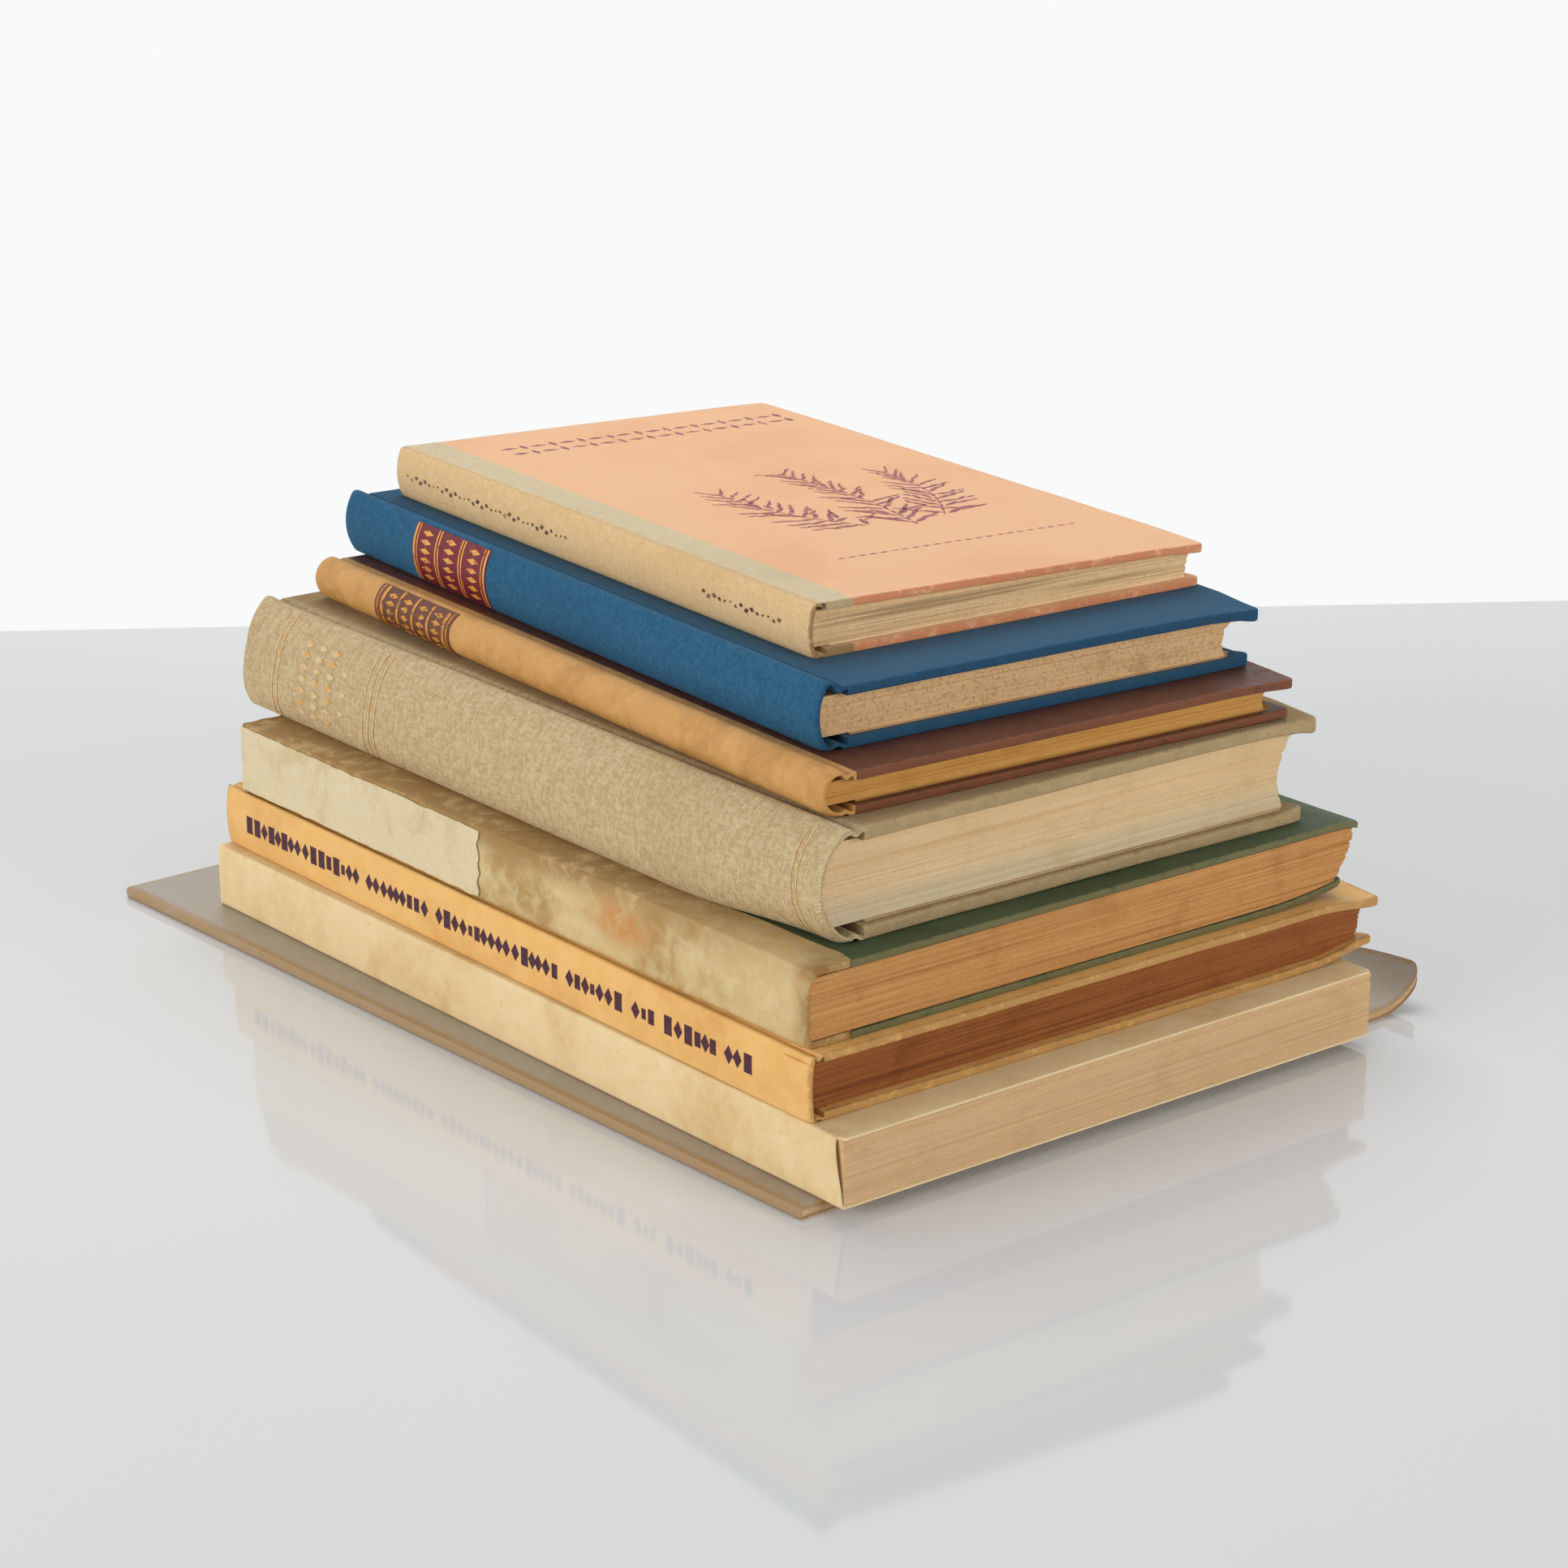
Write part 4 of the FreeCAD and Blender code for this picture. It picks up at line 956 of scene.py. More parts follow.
fold = smooth_line([(3, 3.2), (1.2, 3.2), (0, 3.1), (0, 0.1), (1.2, 0), (3, 0)])
fold_inside = smooth_line([(3, 2.7), (1.4, 2.7), (0.5, 2.6), (0.5, 0.6), (1.4, 0.5), (3, 0.5)])
grey_wrapper = bar("grey_card_wrapper", [(244, 3.2)] + fold + [(244, 0)], [(244, 2.7)] + fold_inside + [(244, 0.5)],
    0, 332)
grey_cuts = [1, 3, 5, 7, 9, 14, 20, 30, 42, 56, 72, 90, 120, 160, 200, 240, 280, 310]
cut_across(grey_wrapper, 0, [60, 120, 180, 226, 229, 232, 235, 236.5, 238, 239.5, 241, 242.5, 243.4])
cut_across(grey_wrapper, 1, grey_cuts)
reshape(grey_wrapper, grey_corner)
lay_on_stack(grey_wrapper, grey, "stack", "grey_wrapper", grey_card, ["grey_wrapper"])

grey_leaves = leaf_block("grey_leaves", 332, 0.25, 0.52, 2.68, lambda u: 0.6, lambda u: 243.7, 0.3, 0.08, 11)
cut_across(grey_leaves, 0, [60, 120, 180, 226, 229, 232, 235, 236.5, 238, 239.5, 241, 242.5])
cut_across(grey_leaves, 1, grey_cuts)
reshape(grey_leaves, grey_corner)
lay_on_stack(grey_leaves, grey, "stack", "grey_pages", grey_page_edges, ["grey_pages"], 50)

# %% [markdown]
# ## Cream paperback
# A glued block of leaves in a card wrapper, all cut flush. The card is creased round at the spine, and at the
# tail its spine panel has come loose from the leaves and stands off a little, with a dark gap behind it.

# %% Cream paperback
def loose_panel(points):
    tail = np.clip(1 - points[:, 1] / 16, 0, 1)
    on_spine = points[:, 0] < 1.2
    height = np.clip(points[:, 2] / cream.height, 0, 1)
    points[:, 0] -= np.where(on_spine, 1.6 * tail ** 2 * height * np.sin(math.pi * np.clip(height * 0.9 + 0.05, 0,
        1)), 0)
    points[:, 1] += np.where(on_spine, np.clip(1 - points[:, 1] / 6, 0, 1) * 2.6 * height ** 1.5, 0)
    return points


def cream_card_shape(points):
    points = loose_panel(points)
    points[:, 0] += 0.15 * ripple(points, 30, 2) * (points[:, 0] < 5)
    return round_corners(points, cream, 1.5)


CARD = 0.6
crease = smooth_line([(8, cream.height), (1.4, cream.height), (0.35, 19.7), (0, 18.6), (0, 14), (0, 10), (0, 6),
    (0, 1.3), (0.35, 0.2), (1.4, 0), (8, 0)])
crease_inside = smooth_line([(8, 19.3), (1.8, 19.3), (0.95, 19.1), (0.6, 18.3), (0.6, 14), (0.6, 10), (0.6, 6),
    (0.6, 1.6), (0.95, 0.8), (1.8, 0.6), (8, 0.6)])
cream_wrapper = bar("cream_card_wrapper", [(cream.width, cream.height)] + crease + [(cream.width, 0)],
                    [(cream.width, cream.height - CARD)] + crease_inside + [(cream.width, CARD)], 0, cream.length)
cut_across(cream_wrapper, 1, [0.8, 1.6, 2.5, 3.5, 4.5, 6, 8, 10, 13, 16, 22] + list(range(36, 300, 18)) + [301, 304,
    305.5])
cut_across(cream_wrapper, 0, [40, 80, 120, 160, 190, 195, 197.5, 198.3])
reshape(cream_wrapper, cream_card_shape)
lay_on_stack(cream_wrapper, cream, "stack", "cream_wrapper", cream_card, ["cream_wrapper"])

cream_leaves = leaf_block("cream_leaves", cream.length, 0.15, 0.62, 19.28, lambda u: 0.9, lambda u: 198.8, 0.6, 0.06,
    12)
cut_across(cream_leaves, 0, [40, 80, 120, 160])
reshape(cream_leaves, lambda p: p + 0.08 * ripple(p, 25, 3)[:, None] * np.array([1, 1, 0]))
lay_on_stack(cream_leaves, cream, "stack", "cream_pages", cream_page_edges, ["cream_text_block"], 50)

# %% [markdown]
# ## Yellow book
# Thin boards and a nearly flat spine, all in one yellow paper. The front board's fore-edge tip droops, and
# the back board's near corner has curled up and frayed, so the bar is bent there before it is set down.

# %% Yellow book
def yellow_wear(points):
    points = folded_corners(round_corners(points, yellow, 2.0), yellow, 0.2, 0)
    points = curl_caps(points, yellow, 4.0, 0.8)
    points = wavy_edges(points, yellow, 0.35, 31)
    x, y, z = points.T
    tail = np.clip(1 - y / 40, 0, 1)
    upper = z > 9
    droop = ease((x - 186) / 26) * tail ** 1.5
    z = np.where(upper, z - 1.6 * droop, z + 3.6 * ease((x - 180) / 30) ** 1.5 * tail ** 2)
    fray = (~upper) & (x > 196) & (y < 16)
    x = np.where(fray, x + 1.3 * ripple(points * np.array([1, 1, 3]), 2.4, 5), x)
    y = np.where(fray, y + 1.0 * ripple(points * np.array([1, 1, 3]), 2.0, 9), y)
    tear = np.exp(-((y - 6) / 5) ** 2) * (z > 16.5) * (x < 3)
    return np.column_stack([x + 0.9 * tear, y, z - 0.7 * tear])


outer, inner = case_lines(yellow, 1.0, yellow.front_width, yellow.width)
yellow_cover = bar("yellow_cover", outer, inner, 0, yellow.length)
soften(yellow_cover, 0.5, rims(yellow))
cut_across(yellow_cover, 1, y_cuts(yellow) + [5.5, 9, 14, 26])
cut_across(yellow_cover, 0, x_cuts(yellow.joint, [yellow.front_width, yellow.width]))
reshape(yellow_cover, yellow_wear)
lay_on_stack(yellow_cover, yellow, "stack", "yellow_cover_paper", yellow_paper,
             ["yellow_cover_paper", "yellow_front_board", "yellow_back_board", "yellow_spine_inlay"])
bound_leaves("yellow_leaves", yellow, yellow_page_edges, 0.14)

# %% [markdown]
# ## Green book
# The boards are cut flush with the leaves and covered in green paper, and a paper spine is glued straight to
# the leaves. The back board lifts towards the fore-edge and the front one droops, and the leaves follow
# both: their block is made level with a height from 0 to 1, and then fitted between the two curves.

# %% Green book
GREEN_BOARD, LEAVES_HIGH = 2.0, 17.3


def green_top(x):
    past = np.clip(x - 196.5, 0, 9)
    return green.height - (30 - np.sqrt(30 ** 2 - past ** 2))


def green_bottom(x):
    past = np.clip(x - 166, 0, 40)
    return 205 - np.sqrt(205 ** 2 - past ** 2)


def green_board(name, front, fore):
    """A board with its paper, from under the spine paper to the fore-edge."""
    flat = bar(name, [(14.2, GREEN_BOARD), (fore, GREEN_BOARD)], [(14.2, 0.0), (fore, 0.0)], 0, green.length)
    soften(flat, 0.45, lambda a, b: (a.x + b.x) / 2 > 14.3)
    cut_across(flat, 1, y_cuts(green))
    cut_across(flat, 0, [40, 80, 120, 150, 166, 172, 178, 184, 190, 194, 196.5, 198.5, 200.5, 202.5, 204, fore - 0.7,
        fore - 1.5])

    def bend(points):
        x, y, z = points.T
        end = np.minimum(y, green.length - y)
        near = np.clip(1 - np.minimum(end, fore - x) / 10, 0, 1)
        rag = ripple(points * np.array([1, 1, 0.3]), 9, 41 + front)
        x = np.where(x > fore - 8, x + 0.35 * near * rag, x)
        y = np.where(end < 8, y + 0.35 * near * rag, y)
        z = (green_top(x) - GREEN_BOARD + z) if front else (green_bottom(x) + z)
        z += 0.15 * near * ripple(points, 14, 44)
        dx, dy = (x - (fore - 3)) / 3, np.maximum(3 - y, y - (green.length - 3)) / 3
        both = (dx > 0) & (dy > 0)
        k = np.where(both, np.maximum(dx, dy) / np.maximum(np.hypot(dx, dy), 1e-6), 1)
        x = np.where(both, fore - 3 + 3 * dx * k, x)
        y = np.where(both & (y < 10), 3 - 3 * dy * k, np.where(both, green.length - 3 + 3 * dy * k, y))
        return np.column_stack([x, y, z])
    reshape(flat, bend)
    side = "front" if front else "back"
    return lay_on_stack(flat, green, "stack", "green_paper", green_paper,
        ["green_%s_paper" % side, "green_%s_board" % side])


green_board("green_front_side", True, 205.5)
green_board("green_back_side", False, 199.0)

round_line = smooth_line([(15.2, 21.95), (8, 21.95), (1.6, 21.95), (0.3, 21.8), (0, 20.8), (0, 16), (0, 11), (0, 6),
    (0, 1.1), (0.3, 0.15), (1.6, 0), (8, 0), (15.2, 0)])
inner_line = smooth_line([(15.2, 19.9), (8, 19.9), (2.0, 19.9), (1.2, 19.8), (0.9, 19.3), (0.9, 16), (0.9, 11),
    (0.9, 6), (0.9, 2.6), (1.2, 2.1), (2.0, 2.0), (8, 2.0), (15.2, 2.0)])
green_spine = bar("green_spine_cover", round_line, inner_line, 0, green.length)
soften(green_spine, 0.35, lambda a, b: abs(a.y - b.y) < 0.01 and not (abs(a.x - b.x) < 0.5 and abs(a.z - b.z) > 1.5))
cut_across(green_spine, 1, sorted(set(y_cuts(green, 9) + [3.2, 5.5, 9])))


def spine_wear(points):
    x, y, z = points.T
    end = np.minimum(y, green.length - y)
    crumple = ripple(points, 7, 51)
    x = x + np.where(x < 3, 0.22 * crumple + 0.3 * ripple(points, 26, 52), 0)
    rag = np.clip(1 - end / 5, 0, 1)
    y = y + rag * (0.9 * ripple(points * np.array([1, 0, 1]), 2.6, 53) + 0.4) * np.where(y < 50, 1, -1)
    x = x + np.where(x < 3, 0.8 * rag ** 2 * np.clip(ripple(points * np.array([0, 1, 1]), 3.5, 54), 0, 1), 0)
    strip = (x > 12) & (z > 10)
    x = x + np.where(strip, 1.6 * ripple(points * np.array([0, 1, 0]), 6, 55), 0)
    return np.column_stack([x, y, z])


reshape(green_spine, spine_wear)
lay_on_stack(green_spine, green, "stack", "green_spine_paper", stained_spine_paper, ["green_spine_paper"])

green_leaves = leaf_block("green_leaves", green.length, 0.8, 0.0, LEAVES_HIGH, lambda u: 0.8,
                          lambda u: 196.0 + 6.5 * u + 6.4 * u * (1 - u), 0.6, 0.16, 14)
cut_across(green_leaves, 0, [40, 80, 120, 150, 166, 172, 178, 184, 190, 194, 198, 200])


def between_boards(points):
    x, y, z = points.T
    low, high = green_bottom(x) + 2.25, green_top(x) - 2.25
    y = y + 0.15 * ripple(points, 20, 57)
    return np.column_stack([x, y, low + (high - low) * z / LEAVES_HIGH])


reshape(green_leaves, between_boards)
lay_on_stack(green_leaves, green, "stack", "green_pages", green_page_edges, ["green_text_block"], 50)

# %% [markdown]
# The white patch on that spine was pasted on by hand: its edges are torn and it has small wrinkles. It is a
# thin bar cut into a fine grid, so that its outline can be made ragged and its face uneven.

# %% White patch
PATCH_TAIL, PATCH_HEAD = 151.5, 281.3
steps = np.linspace(1.0, 21.4, 15)
green_patch = pulled_through("green_spine_patch", [[(-0.45, PATCH_TAIL, z), (-0.45, PATCH_HEAD, z),
    (-0.05, PATCH_HEAD, z), (-0.05, PATCH_TAIL, z)] for z in steps])
cut_across(green_patch, 1, np.linspace(PATCH_TAIL, PATCH_HEAD, 60)[1:-1])


def torn_patch(points):
    x, y, z = points.T
    to_tail = np.clip(1 - (y - PATCH_TAIL) / 8, 0, 1)
    to_head = np.clip(1 - (PATCH_HEAD - y) / 6, 0, 1)
    y = y + to_tail * 1.8 * ripple(points * np.array([0, 0.2, 1]), 3,
        61) + to_head * 0.9 * ripple(points * np.array([0, 0.2, 1]), 2.5, 62)
    low, high = np.clip(1 - (z - 1.0) / 4, 0, 1), np.clip(1 - (21.4 - z) / 4, 0, 1)
    z = z + low * 0.5 * ripple(points * np.array([0, 1, 0]), 5,
        63) - high * np.abs(0.9 * ripple(points * np.array([0, 1, 0]), 6, 64))
    fold = 0.22 * ripple(points, 7, 51) + 0.3 * ripple(points, 26, 52)
    x = x + fold - 0.12 + 0.14 * ripple(points, 3.5, 65)
    return np.column_stack([x, y, z])


reshape(green_patch, torn_patch)
lay_on_stack(green_patch, green, "stack", "green_spine_patch", patch_paper, ["green_spine_patch"])

# %% [markdown]
# ## Linen book
# The thickest book has a strongly rounded spine in coarse linen. Over the years it has sagged: beyond its
# tail end the round of the spine hangs lower than it was made, and its head cap flares. Its boards are thick,
# with well rounded edges.

# %% Linen book
def linen_sag(points):
    points = folded_corners(round_corners(points, linen, 3.0), linen, 0.8, 1.3)
    points = curl_caps(points, linen, 4.0, 1.2)
    points = wavy_edges(points, linen, 0.4, 71, 30)
    x, y, z = points.T
    share = np.clip(z / linen.spine_height, 0, 1)
    spine = ease((2.5 - x) / 3.5)
    sag = ease((y - 4) / 60) * np.clip(1 - share / 0.62, 0, 1) ** 1.6
    x = x - 7.6 * sag * spine
    lower = np.clip(1 - share / 0.3, 0, 1) * ease((1 - x) / 3)
    z = z - 0.4 * lower * ease((y - 4) / 60)
    flare = ease((y - 272) / 19)
    z = z + spine * flare * np.where(share > 0.5, 2.2 * (share - 0.5) * 2, 0)
    x = x + np.where(x < 2, 0.25 * ripple(points, 30, 73), 0)
    return np.column_stack([x, y, z])


outer, inner = case_lines(linen, 1.5, linen.front_width, linen.width)
linen_cover = bar("linen_cover", outer, inner, 0, linen.length)
soften(linen_cover, 1.1, rims(linen), 4)
cut_across(linen_cover, 1, y_cuts(linen, 12))
cut_across(linen_cover, 0, x_cuts(linen.joint, [linen.front_width, linen.width]))
reshape(linen_cover, linen_sag)
lay_on_stack(linen_cover, linen, "stack", "linen_cover_cloth", linen_cloth,
             ["linen_cover_cloth", "linen_front_board", "linen_back_board", "linen_spine_inlay"])
bound_leaves("linen_leaves", linen, linen_page_edges, 0.1)

# %% [markdown]
# ## Tan book
# A half binding: tan leather over the spine and a strip of each board, and brown paper on the rest. The leather
# is the same bar as a full cover, ended on the boards, and the brown sides are two slabs that run under it.

# %% Tan book
def half_binding(points):
    points = curl_caps(points, tan, 3.0, 0.8)
    x, y, z = points.T
    x = x + np.where(x < 2, 0.15 * ripple(points, 20, 81), 0)
    return np.column_stack([x, y, z])


def side_slab(name, book, x0, fore, z0, seed, soft=0.5, radius=2.0, droop=0.7):
    slab = bar(name, [(x0, z0 + book.depth), (fore, z0 + book.depth)], [(x0, z0), (fore, z0)], 0, book.length)
    soften(slab, soft, lambda a, b: (a.x + b.x) / 2 > x0 + 0.1)
    cut_across(slab, 1, y_cuts(book))
    cut_across(slab, 0, x_cuts(x0, [fore]))

    def worn(points):
        points = folded_corners(round_corners(points, book, radius), book, 0.3, droop)
        return wavy_edges(points, book, 0.22, seed)
    reshape(slab, worn)
    return slab


outer, inner = case_lines(tan, 1.2, 7.0, 7.0)
outer = [(x, z + 0.06 if z > 6 else z) for x, z in outer]
tan_spine = bar("tan_spine", outer, inner, 0, tan.length)
soften(tan_spine, 0.4, rims(tan, 30))
cut_across(tan_spine, 1, y_cuts(tan, 14))
reshape(tan_spine, half_binding)
lay_on_stack(tan_spine, tan, "stack", "tan_spine_leather", tan_leather, ["tan_spine_leather", "tan_spine_inlay"])
lay_on_stack(side_slab("tan_front_side", tan, 6.6, tan.front_width, tan.height - tan.depth, 82), tan, "stack",
             "tan_side_paper", brown_paper, ["tan_front_paper", "tan_front_board"])
lay_on_stack(side_slab("tan_back_side", tan, 6.6, tan.width, 0, 83), tan, "stack", "tan_side_paper", brown_paper,
             ["tan_back_paper", "tan_back_board"])
bound_leaves("tan_leaves", tan, tan_page_edges, 0.1, 0.5)

# %% [markdown]
# ## Blue book
# Full blue cloth over boards with wide squares, a clear groove at the joint and a slightly round spine. The
# red label is its own piece, made below.

# %% Blue book
def blue_wear(points):
    points = folded_corners(round_corners(points, blue, 2.4), blue, 0.8, 1.2)
    points = curl_caps(points, blue, 3.0, 0.8)
    return wavy_edges(points, blue, 0.3, 91)


outer, inner = case_lines(blue, 1.2, blue.front_width, blue.width)
blue_cover = bar("blue_cover", outer, inner, 0, blue.length)
soften(blue_cover, 0.7, rims(blue))
cut_across(blue_cover, 1, y_cuts(blue, 14))
cut_across(blue_cover, 0, x_cuts(blue.joint, [blue.front_width, blue.width]))
reshape(blue_cover, blue_wear)
lay_on_stack(blue_cover, blue, "stack", "blue_cover_cloth", blue_cloth,
             ["blue_cover_cloth", "blue_front_board", "blue_back_board", "blue_spine_inlay"])
bound_leaves("blue_leaves", blue, blue_page_edges, 0.12)

# %% [markdown]
# ## Labels and gilding
# A spine label is a thin strip of leather pasted round the spine. Its gold rules are strips of the same kind, a
# hair thicker, so they follow the curve. Between them go rows of small lozenges, a plain ornament.

# %% Strips round a spine
def spine_strip(name, book, y0, y1, reach, lift, thick, steps=14):
    angles = [book.angle * reach * (1 - 2 * k / steps) for k in range(steps + 1)]
    outer = [book.spine_point(a, -lift - thick) for a in angles]
    inner = [book.spine_point(a, -lift) for a in angles]
    return bar(name, outer, inner, y0, y1)


def joined(name, parts):
    nothing_selected()
    for part in parts:
        part.select_set(True)
    bpy.context.view_layer.objects.active = parts[0]
    bpy.ops.object.join()
    whole = bpy.context.object
    whole.name = whole.data.name = name
    return whole


def flat_shape(name, corners, outline, thick):
    """A shape in the XY plane whose base is sunk a hair, so that it never lifts off."""
    nothing_selected()
    bpy.ops.mesh.primitive_circle_add(vertices=corners, radius=1, fill_type="NGON")
    piece = bpy.context.object
    piece.name = piece.data.name = name
    for v in piece.data.vertices:
        v.co = (*outline(v.co.x, v.co.y), thick)
    bpy.ops.object.mode_set(mode="EDIT")
    bpy.ops.mesh.select_all(action="SELECT")
    bpy.ops.mesh.extrude_region_move(TRANSFORM_OT_translate={"value": (0, 0, -thick - 0.05)})
    bpy.ops.mesh.select_all(action="SELECT")
    bpy.ops.mesh.normals_make_consistent(inside=False)
    bpy.ops.object.mode_set(mode="OBJECT")
    return piece


def lozenge(name, long, wide, thick=0.06):
    return flat_shape(name, 4, lambda x, y: (x * long / 2, y * wide / 2), thick)


def spread(name, pattern, places):
    """Copies of one small shape at (u, v, turn, size), joined, with the first one taken away."""
    copies = []
    for u, v, turn, size in places:
        copy = bpy.data.objects.new(name, pattern.data.copy())
        bpy.context.scene.collection.objects.link(copy)
        c, s = math.cos(turn) * size, math.sin(turn) * size
        for p in copy.data.vertices:
            p.co = (u + p.co.x * c - p.co.y * s, v + p.co.x * s + p.co.y * c, p.co.z)
        copies.append(copy)
    bpy.data.objects.remove(pattern)
    return joined(name, copies)


def wrap_round(piece, book, lift):
    """Lays a flat pattern on the spine: its X runs along the spine, its Y round it from the middle."""
    def move(points):
        r = book.radius + lift + points[:, 2]
        angle = points[:, 1] / book.radius
        return np.column_stack([book.centre - r * np.cos(angle), points[:, 0],
            book.spine_height / 2 + r * np.sin(angle)])
    reshape(piece, move)


# %% Red label of the blue book
blue_label = spine_strip("blue_label", blue, 173.5, 217.5, 0.9, -0.05, 0.25)
cut_across(blue_label, 1, np.linspace(173.5, 217.5, 12)[1:-1])
reshape(blue_label, lambda p: p + np.array([0, 0.35, 0]) * ripple(p * np.array([1, 0.1, 1]), 2.5, 95)[:, None])
lay_on_stack(blue_label, blue, "stack", "blue_spine_label", red_label_leather, ["blue_spine_label"])
rules = [spine_strip("rule", blue, y, y + w, 0.88, 0.16, 0.1) for y, w in
         ((174.0, 1.0), (176.0, 0.5), (187.6, 0.7), (189.2, 0.7), (201.8, 0.7), (203.4, 0.7), (214.8, 0.5),
         (216.2, 1.0))]
lay_on_stack(joined("blue_label_rules", rules), blue, "stack", "blue_spine_label", blue_gold)
rows = [(y, v, 0, 1) for y in (181.5, 195.6, 209.7) for v in np.linspace(-7, 7, 6)]
blue_marks = spread("blue_label_lozenges", lozenge("lozenge", 6.6, 1.9), rows)
wrap_round(blue_marks, blue, 0.2)
lay_on_stack(blue_marks, blue, "stack", "blue_spine_label", blue_gold)

# %% Brown label of the tan book
tan_label = spine_strip("tan_label", tan, 190, 234.5, 0.9, -0.05, 0.25)
cut_across(tan_label, 1, np.linspace(190, 234.5, 12)[1:-1])
reshape(tan_label, lambda p: p + np.array([0, 0.4, 0]) * ripple(p * np.array([1, 0.1, 1]), 2.2, 96)[:, None])
lay_on_stack(tan_label, tan, "stack", "tan_spine_label", brown_label_leather, ["tan_spine_label"])
rules = [spine_strip("rule", tan, y, y + w, 0.86, 0.16, 0.1) for y, w in
         ((191.5, 0.6), (193.2, 1.6), (202.5, 1.2), (211.5, 1.2), (220.5, 1.2), (229.5, 1.6), (232.6, 0.6))]
lay_on_stack(joined("tan_label_rules", rules), tan, "stack", "tan_spine_label", tan_gold)
rows = [(y, v, 0, 1) for y in (198.3, 207.3, 216.4, 225.4) for v in np.linspace(-5, 5, 5)]
tan_marks = spread("tan_label_lozenges", lozenge("lozenge", 5.4, 1.9), rows)
wrap_round(tan_marks, tan, 0.2)
lay_on_stack(tan_marks, tan, "stack", "tan_spine_label", tan_gold)

# %% [markdown]
# The linen book has faint gold rules straight on its cloth, and a block of plain marks between them. They
# have to follow the sag of its spine, so they are shaped by the same function as the cover.

# %% Gold on the linen spine
rules = [spine_strip("rule", linen, y, y + w, 0.9, 0.0, 0.12, 24) for y, w in
         ((8.6, 0.5), (11.0, 0.5), (213.0, 0.6), (216.2, 0.6), (219.4, 0.5), (268.8, 0.9), (271.5, 0.5))]
linen_rules = joined("linen_gold_rules", rules)
reshape(linen_rules, linen_sag)
lay_on_stack(linen_rules, linen, "stack", "linen_cover_cloth", linen_gold)
rows = [(y, v, 0, 1) for y in (240, 247.5, 255) for v in np.linspace(-11, 11, 7)] + [(232, v, 0, 0.8) for v in (-6,
    0, 6)]
linen_marks = spread("linen_gold_lozenges", lozenge("lozenge", 5.2, 2.4, 0.1), rows)
wrap_round(linen_marks, linen, 0.06)
reshape(linen_marks, linen_sag)
lay_on_stack(linen_marks, linen, "stack", "linen_cover_cloth", linen_gold)

# %% [markdown]
# ## Print on the yellow spine
# One line of bold dark blocks runs along this spine. Here it is a row of plain shapes, lozenges and bars of
# changing width, in the same ink and at the same scale.

# %% Marks on the yellow spine
random = np.random.default_rng(5)
bars, diamonds, y = [], [], 24.0
while y < 279:
    wide = float(random.choice([2.0, 2.8, 3.6]))
    if random.random() < 0.14:
        y += 3.5
    (diamonds if random.random() < 0.45 else bars).append((y + wide / 2, 0.0, 0, wide / 3.0))
    y += wide + 1.0
yellow_diamonds = spread("yellow_spine_lozenges", lozenge("lozenge", 3.9, 5.4),
    [(a, b, c, 1) for a, b, c, _ in diamonds])
wrap_round(yellow_diamonds, yellow, 0.02)
lay_on_stack(yellow_diamonds, yellow, "stack", "yellow_cover_paper", yellow_ink)
block = lozenge("block", 2.6, 4.2)
reshape(block, lambda p: np.column_stack([np.sign(p[:, 0] + p[:, 1] * 0.6) * 1.45,
    np.sign(p[:, 1] - p[:, 0] * 1.0) * 2.3, p[:, 2]]))
yellow_blocks = spread("yellow_spine_blocks", block, bars)
wrap_round(yellow_blocks, yellow, 0.02)
lay_on_stack(yellow_blocks, yellow, "stack", "yellow_cover_paper", yellow_ink)

# %% [markdown]
# ## Peach book
# Sand-coloured cloth covers the spine and a strip of each board, and peach paper covers the rest. Its front
# cover opens, so it is made as its own pieces that ride on the cover's body, and leans down to the thinner
# fore-edge. A strip of cloth that bends joins the spine to the cover.

# %% Peach book, the pieces that stay
HINGE, TOP, FORE_HEIGHT = 3.0, peach.height, 12.8
LEAN_BACK = math.atan((TOP - FORE_HEIGHT) / (peach.front_width - HINGE))


def lean_back(points):
    dx, dz = points[:, 0] - HINGE, points[:, 2] - TOP
    c, s = math.cos(LEAN_BACK), math.sin(LEAN_BACK)
    return np.column_stack([HINGE + dx * c + dz * s, points[:, 1], TOP - dx * s + dz * c])


outside, inside = spine_line(peach, 0, False), spine_line(peach, 1.1, False)
start = next(k for k, (x, z) in enumerate(outside) if x <= HINGE)
outside = [(HINGE, TOP)] + outside[start:] + [(4.4, 0), (13.5, 0)]
inside = [(HINGE, 15.35)] + inside[start:] + [(4.4, 2.3), (13.5, 2.3)]
peach_spine = bar("peach_spine", outside, inside, 0, peach.length)
soften(peach_spine, 0.3, rims(peach, 30))
cut_across(peach_spine, 1, y_cuts(peach, 14))
reshape(peach_spine, lambda p: curl_caps(p, peach, 2.5, 0.5))
lay_on_stack(peach_spine, peach, "stack", "peach_cloth", peach_cloth, ["peach_spine_cloth", "peach_spine_inlay"])
lay_on_stack(side_slab("peach_back_side", peach, 13.2, peach.width, 0, 101, 0.4), peach, "stack", "peach_paper",
    peach_paper,
             ["peach_back_paper", "peach_back_board"])


def peach_page_back(u):
    return peach.page_back(2.6 + 10.3 * u)


peach_leaves = leaf_block("peach_leaves", peach.length, peach.tail, 0.0, 10.0, peach_page_back,
                          lambda u: 134.1 + 1.4 * u - 2 * u * (1 - u), 0.5, 0.12, 18, 5)
cut_across(peach_leaves, 0, [30, 60, 90, 115])


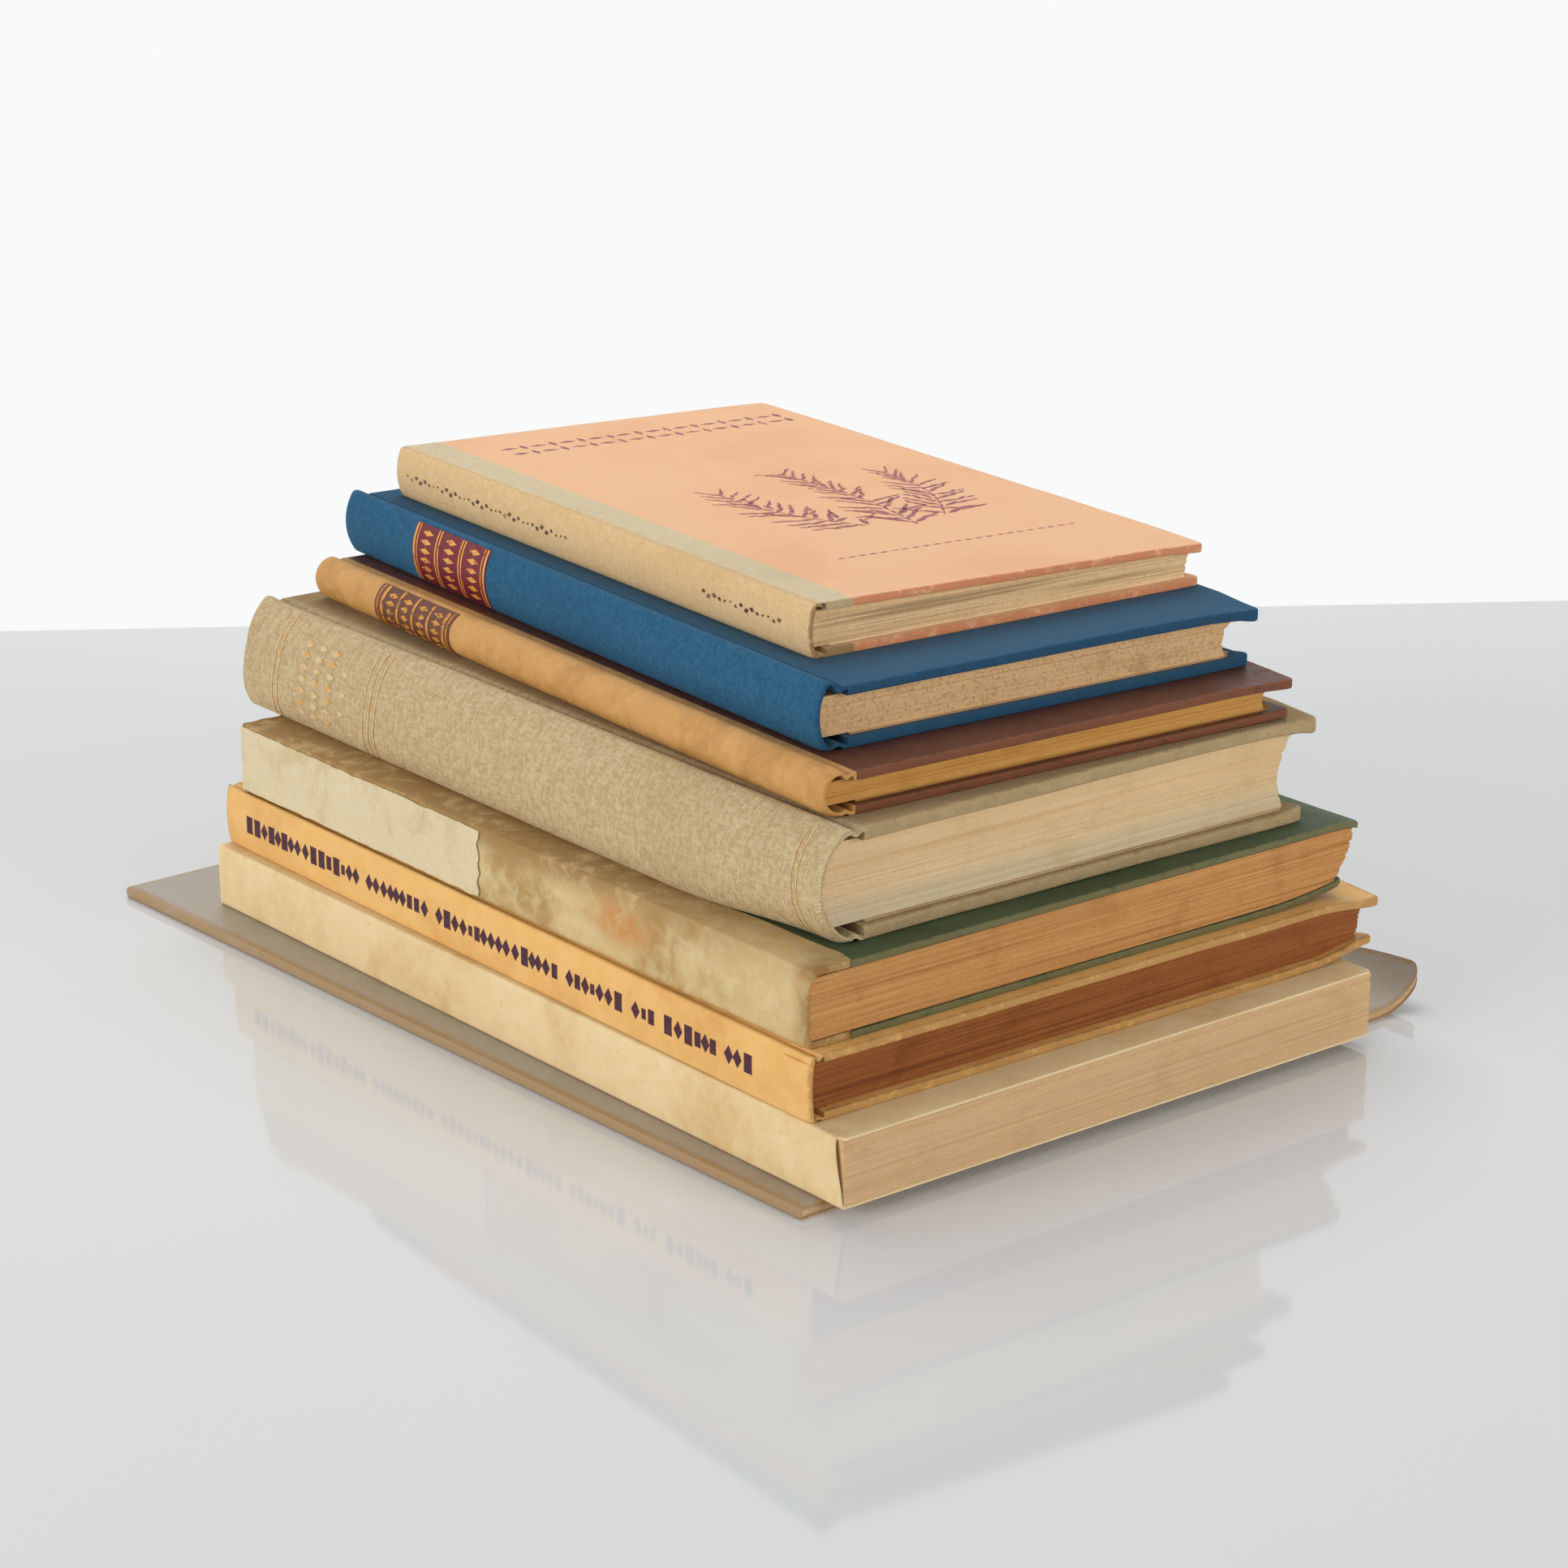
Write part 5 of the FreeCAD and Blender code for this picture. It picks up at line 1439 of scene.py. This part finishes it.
def under_cover(points):
    x, y, z = points.T
    top = TOP - 2.3 - 0.3 - 0.2 - (x - HINGE) * math.tan(LEAN_BACK)
    y = y + 0.12 * ripple(points, 15, 105)
    return np.column_stack([x, y, 2.6 + (top - 2.6) * z / 10.0])


reshape(peach_leaves, under_cover)
lay_on_stack(peach_leaves, peach, "stack", "peach_pages", peach_page_edges, ["peach_text_block"], 50)

# %% Peach book, the cover that opens
strip_outer = [(3.3, TOP), (4.1, TOP), (4.3, TOP), (13.6, TOP + 0.04)]
strip_inner = [(3.3, 15.4), (4.1, 15.4), (4.3, 13.4), (13.6, 13.4)]
front_strip = bar("peach_front_strip", strip_outer, strip_inner, 0, peach.length)
soften(front_strip, 0.3, lambda a, b: abs(a.y - b.y) < 0.01 and a.x > 4.2 and b.x > 4.2 and abs(a.z - b.z) < 1)
cut_across(front_strip, 1, y_cuts(peach, 14))
reshape(front_strip, lean_back)
# The front strip takes the lighter copy of the sand cloth: painted light on its upward face.
lay_on_stack(front_strip, peach, "peach_cover", "peach_cloth", faded_cloth, ["peach_front_cloth"])
front_side = side_slab("peach_front_side", peach, 13.2, 139.1, 13.4, 102, 0.4, 2.0, 0.3)
reshape(front_side, lean_back)
lay_on_stack(front_side, peach, "peach_cover", "peach_paper", peach_paper, ["peach_front_paper", "peach_front_board"])

hinge_line = [(2.2 + 0.2 * k, 15.73) for k in range(10)]
hinge_cloth = bar("peach_hinge_cloth", hinge_line, [(x, 15.5) for x, _ in hinge_line], 0.3, peach.length - 0.3)
reshape(hinge_cloth, lambda p: np.where((p[:, 0] > HINGE)[:, None], lean_back(p), p))
# The hinge cloth takes the same lighter copy: painted light on its upward face.
lay_on_stack(hinge_cloth, peach, None, "peach_cloth", faded_cloth)


def on_stack(x, y, z):
    c, s = math.cos(peach.yaw), math.sin(peach.yaw)
    return ((peach.place[0] + x * c - y * s) * 0.001, (peach.place[1] + x * s + y * c) * 0.001,
            (peach.place[2] + z) * 0.001)


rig.blend(hinge_cloth, "stack", "peach_cover", on_stack(2.5, 100, TOP), on_stack(3.7, 100, TOP))

# %% [markdown]
# ## Print on the peach book
# The cover carries faded plum ink. Here the ink is three sprigs of leaves side by side, with a double row of
# lozenges above them and a row of small ones below. One lozenge is the leaf of them all.

# %% Ornaments on the peach cover
def leaf(name, long, wide, thick=0.06):
    """A pointed leaf."""
    return flat_shape(name, 10, lambda x, y: (x * long / 2, y * wide / 2 * (1 - 0.35 * x ** 2)), thick)


def sprig(foot, tip, bow, seed, pairs=13):
    """Leaves in pairs along a bowed stem, smaller towards its tip, with smaller ones between them."""
    random = np.random.default_rng(seed)
    foot, tip = np.array(foot, float), np.array(tip, float)
    side = np.array([-(tip - foot)[1], (tip - foot)[0]]) / np.linalg.norm(tip - foot)
    leaves = []
    for k in range(pairs):
        t = (k + 0.6) / pairs
        point = foot + (tip - foot) * t + side * bow * math.sin(math.pi * t)
        ahead = (tip - foot) + side * bow * math.pi * math.cos(math.pi * t)
        heading = math.atan2(ahead[1], ahead[0])
        leaves.append((*point, heading, 0.55))
        for way in (-1, 1):
            turn = heading + way * (1.05 - 0.5 * t + 0.2 * random.normal())
            for out, size in ((4.6, 1.05), (10.0, 0.9), (14.5, 0.6)):
                size *= 1 - 0.45 * t
                reach = out * (1 - 0.45 * t)
                turned = turn + 0.25 * way * random.normal()
                leaves.append((point[0] + reach * math.cos(turn), point[1] + reach * math.sin(turn), turned, size))
    return leaves


places = sprig((66, 66), (50, 122), 5, 3) + sprig((80, 60), (82, 136), -4, 4, 16) + sprig((94, 66), (112, 122), -5, 5)
cover_sprigs = spread("peach_cover_sprigs", leaf("leaf", 7.4, 2.0), places)
reshape(cover_sprigs, lambda p: lean_back(p + np.array([0, 0, TOP])))
lay_on_stack(cover_sprigs, peach, "peach_cover", "peach_paper", peach_ink)
border = [(x, y, math.pi / 2 * (k % 2), 1.0) for y in (200.5, 208) for k, x in enumerate(np.arange(28, 131, 5.4))]
border += [(x, 38, 0, 0.5) for x in np.arange(36, 122, 3.8)]
cover_border = spread("peach_cover_lozenges", lozenge("lozenge", 6.2, 2.2), border)
reshape(cover_border, lambda p: lean_back(p + np.array([0, 0, TOP])))
lay_on_stack(cover_border, peach, "peach_cover", "peach_paper", peach_ink)
marks = [(y, 0.6 * math.sin(y), 0.4 * math.cos(3 * y), 0.8 + 0.3 * math.cos(5 * y)) for y in np.arange(126, 222, 2.7)]
marks += [(y, 0.5 * math.sin(y), 0.4 * math.cos(3 * y), 0.8 + 0.3 * math.cos(5 * y)) for y in np.arange(14, 54, 2.7)]
spine_marks = spread("peach_spine_marks", lozenge("lozenge", 2.4, 1.5), marks)
wrap_round(spine_marks, peach, 0.02)
lay_on_stack(spine_marks, peach, "stack", "peach_cloth", spine_ink)

# %% [markdown]
# ## Endpapers
# The endpapers of the imported model have the right shape already: a flyleaf, and a pastedown on the board. They
# stay, and only get old paper in their material slots, toned as the paper of their own book. All but the peach
# book's are darkened further: painted shade for the gap between board and leaves, where their edges show.

# %% Endpapers
for node, obj in frame["nodes"].items():
    if "endpaper" in node or "flyleaf" in node or "pastedown" in node:
        obj.data.materials.clear()
        obj.data.materials.append(old_endpapers.get(node.split("_")[0], white_endpaper))
        print("paper on", node)

# %% Finish
visual_box = [list(corner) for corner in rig.bounds()]
with open("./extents.json", "w") as f:
    json.dump({"cad": cad_box, "visual": visual_box}, f)
print("cad", cad_box, "visual", visual_box)
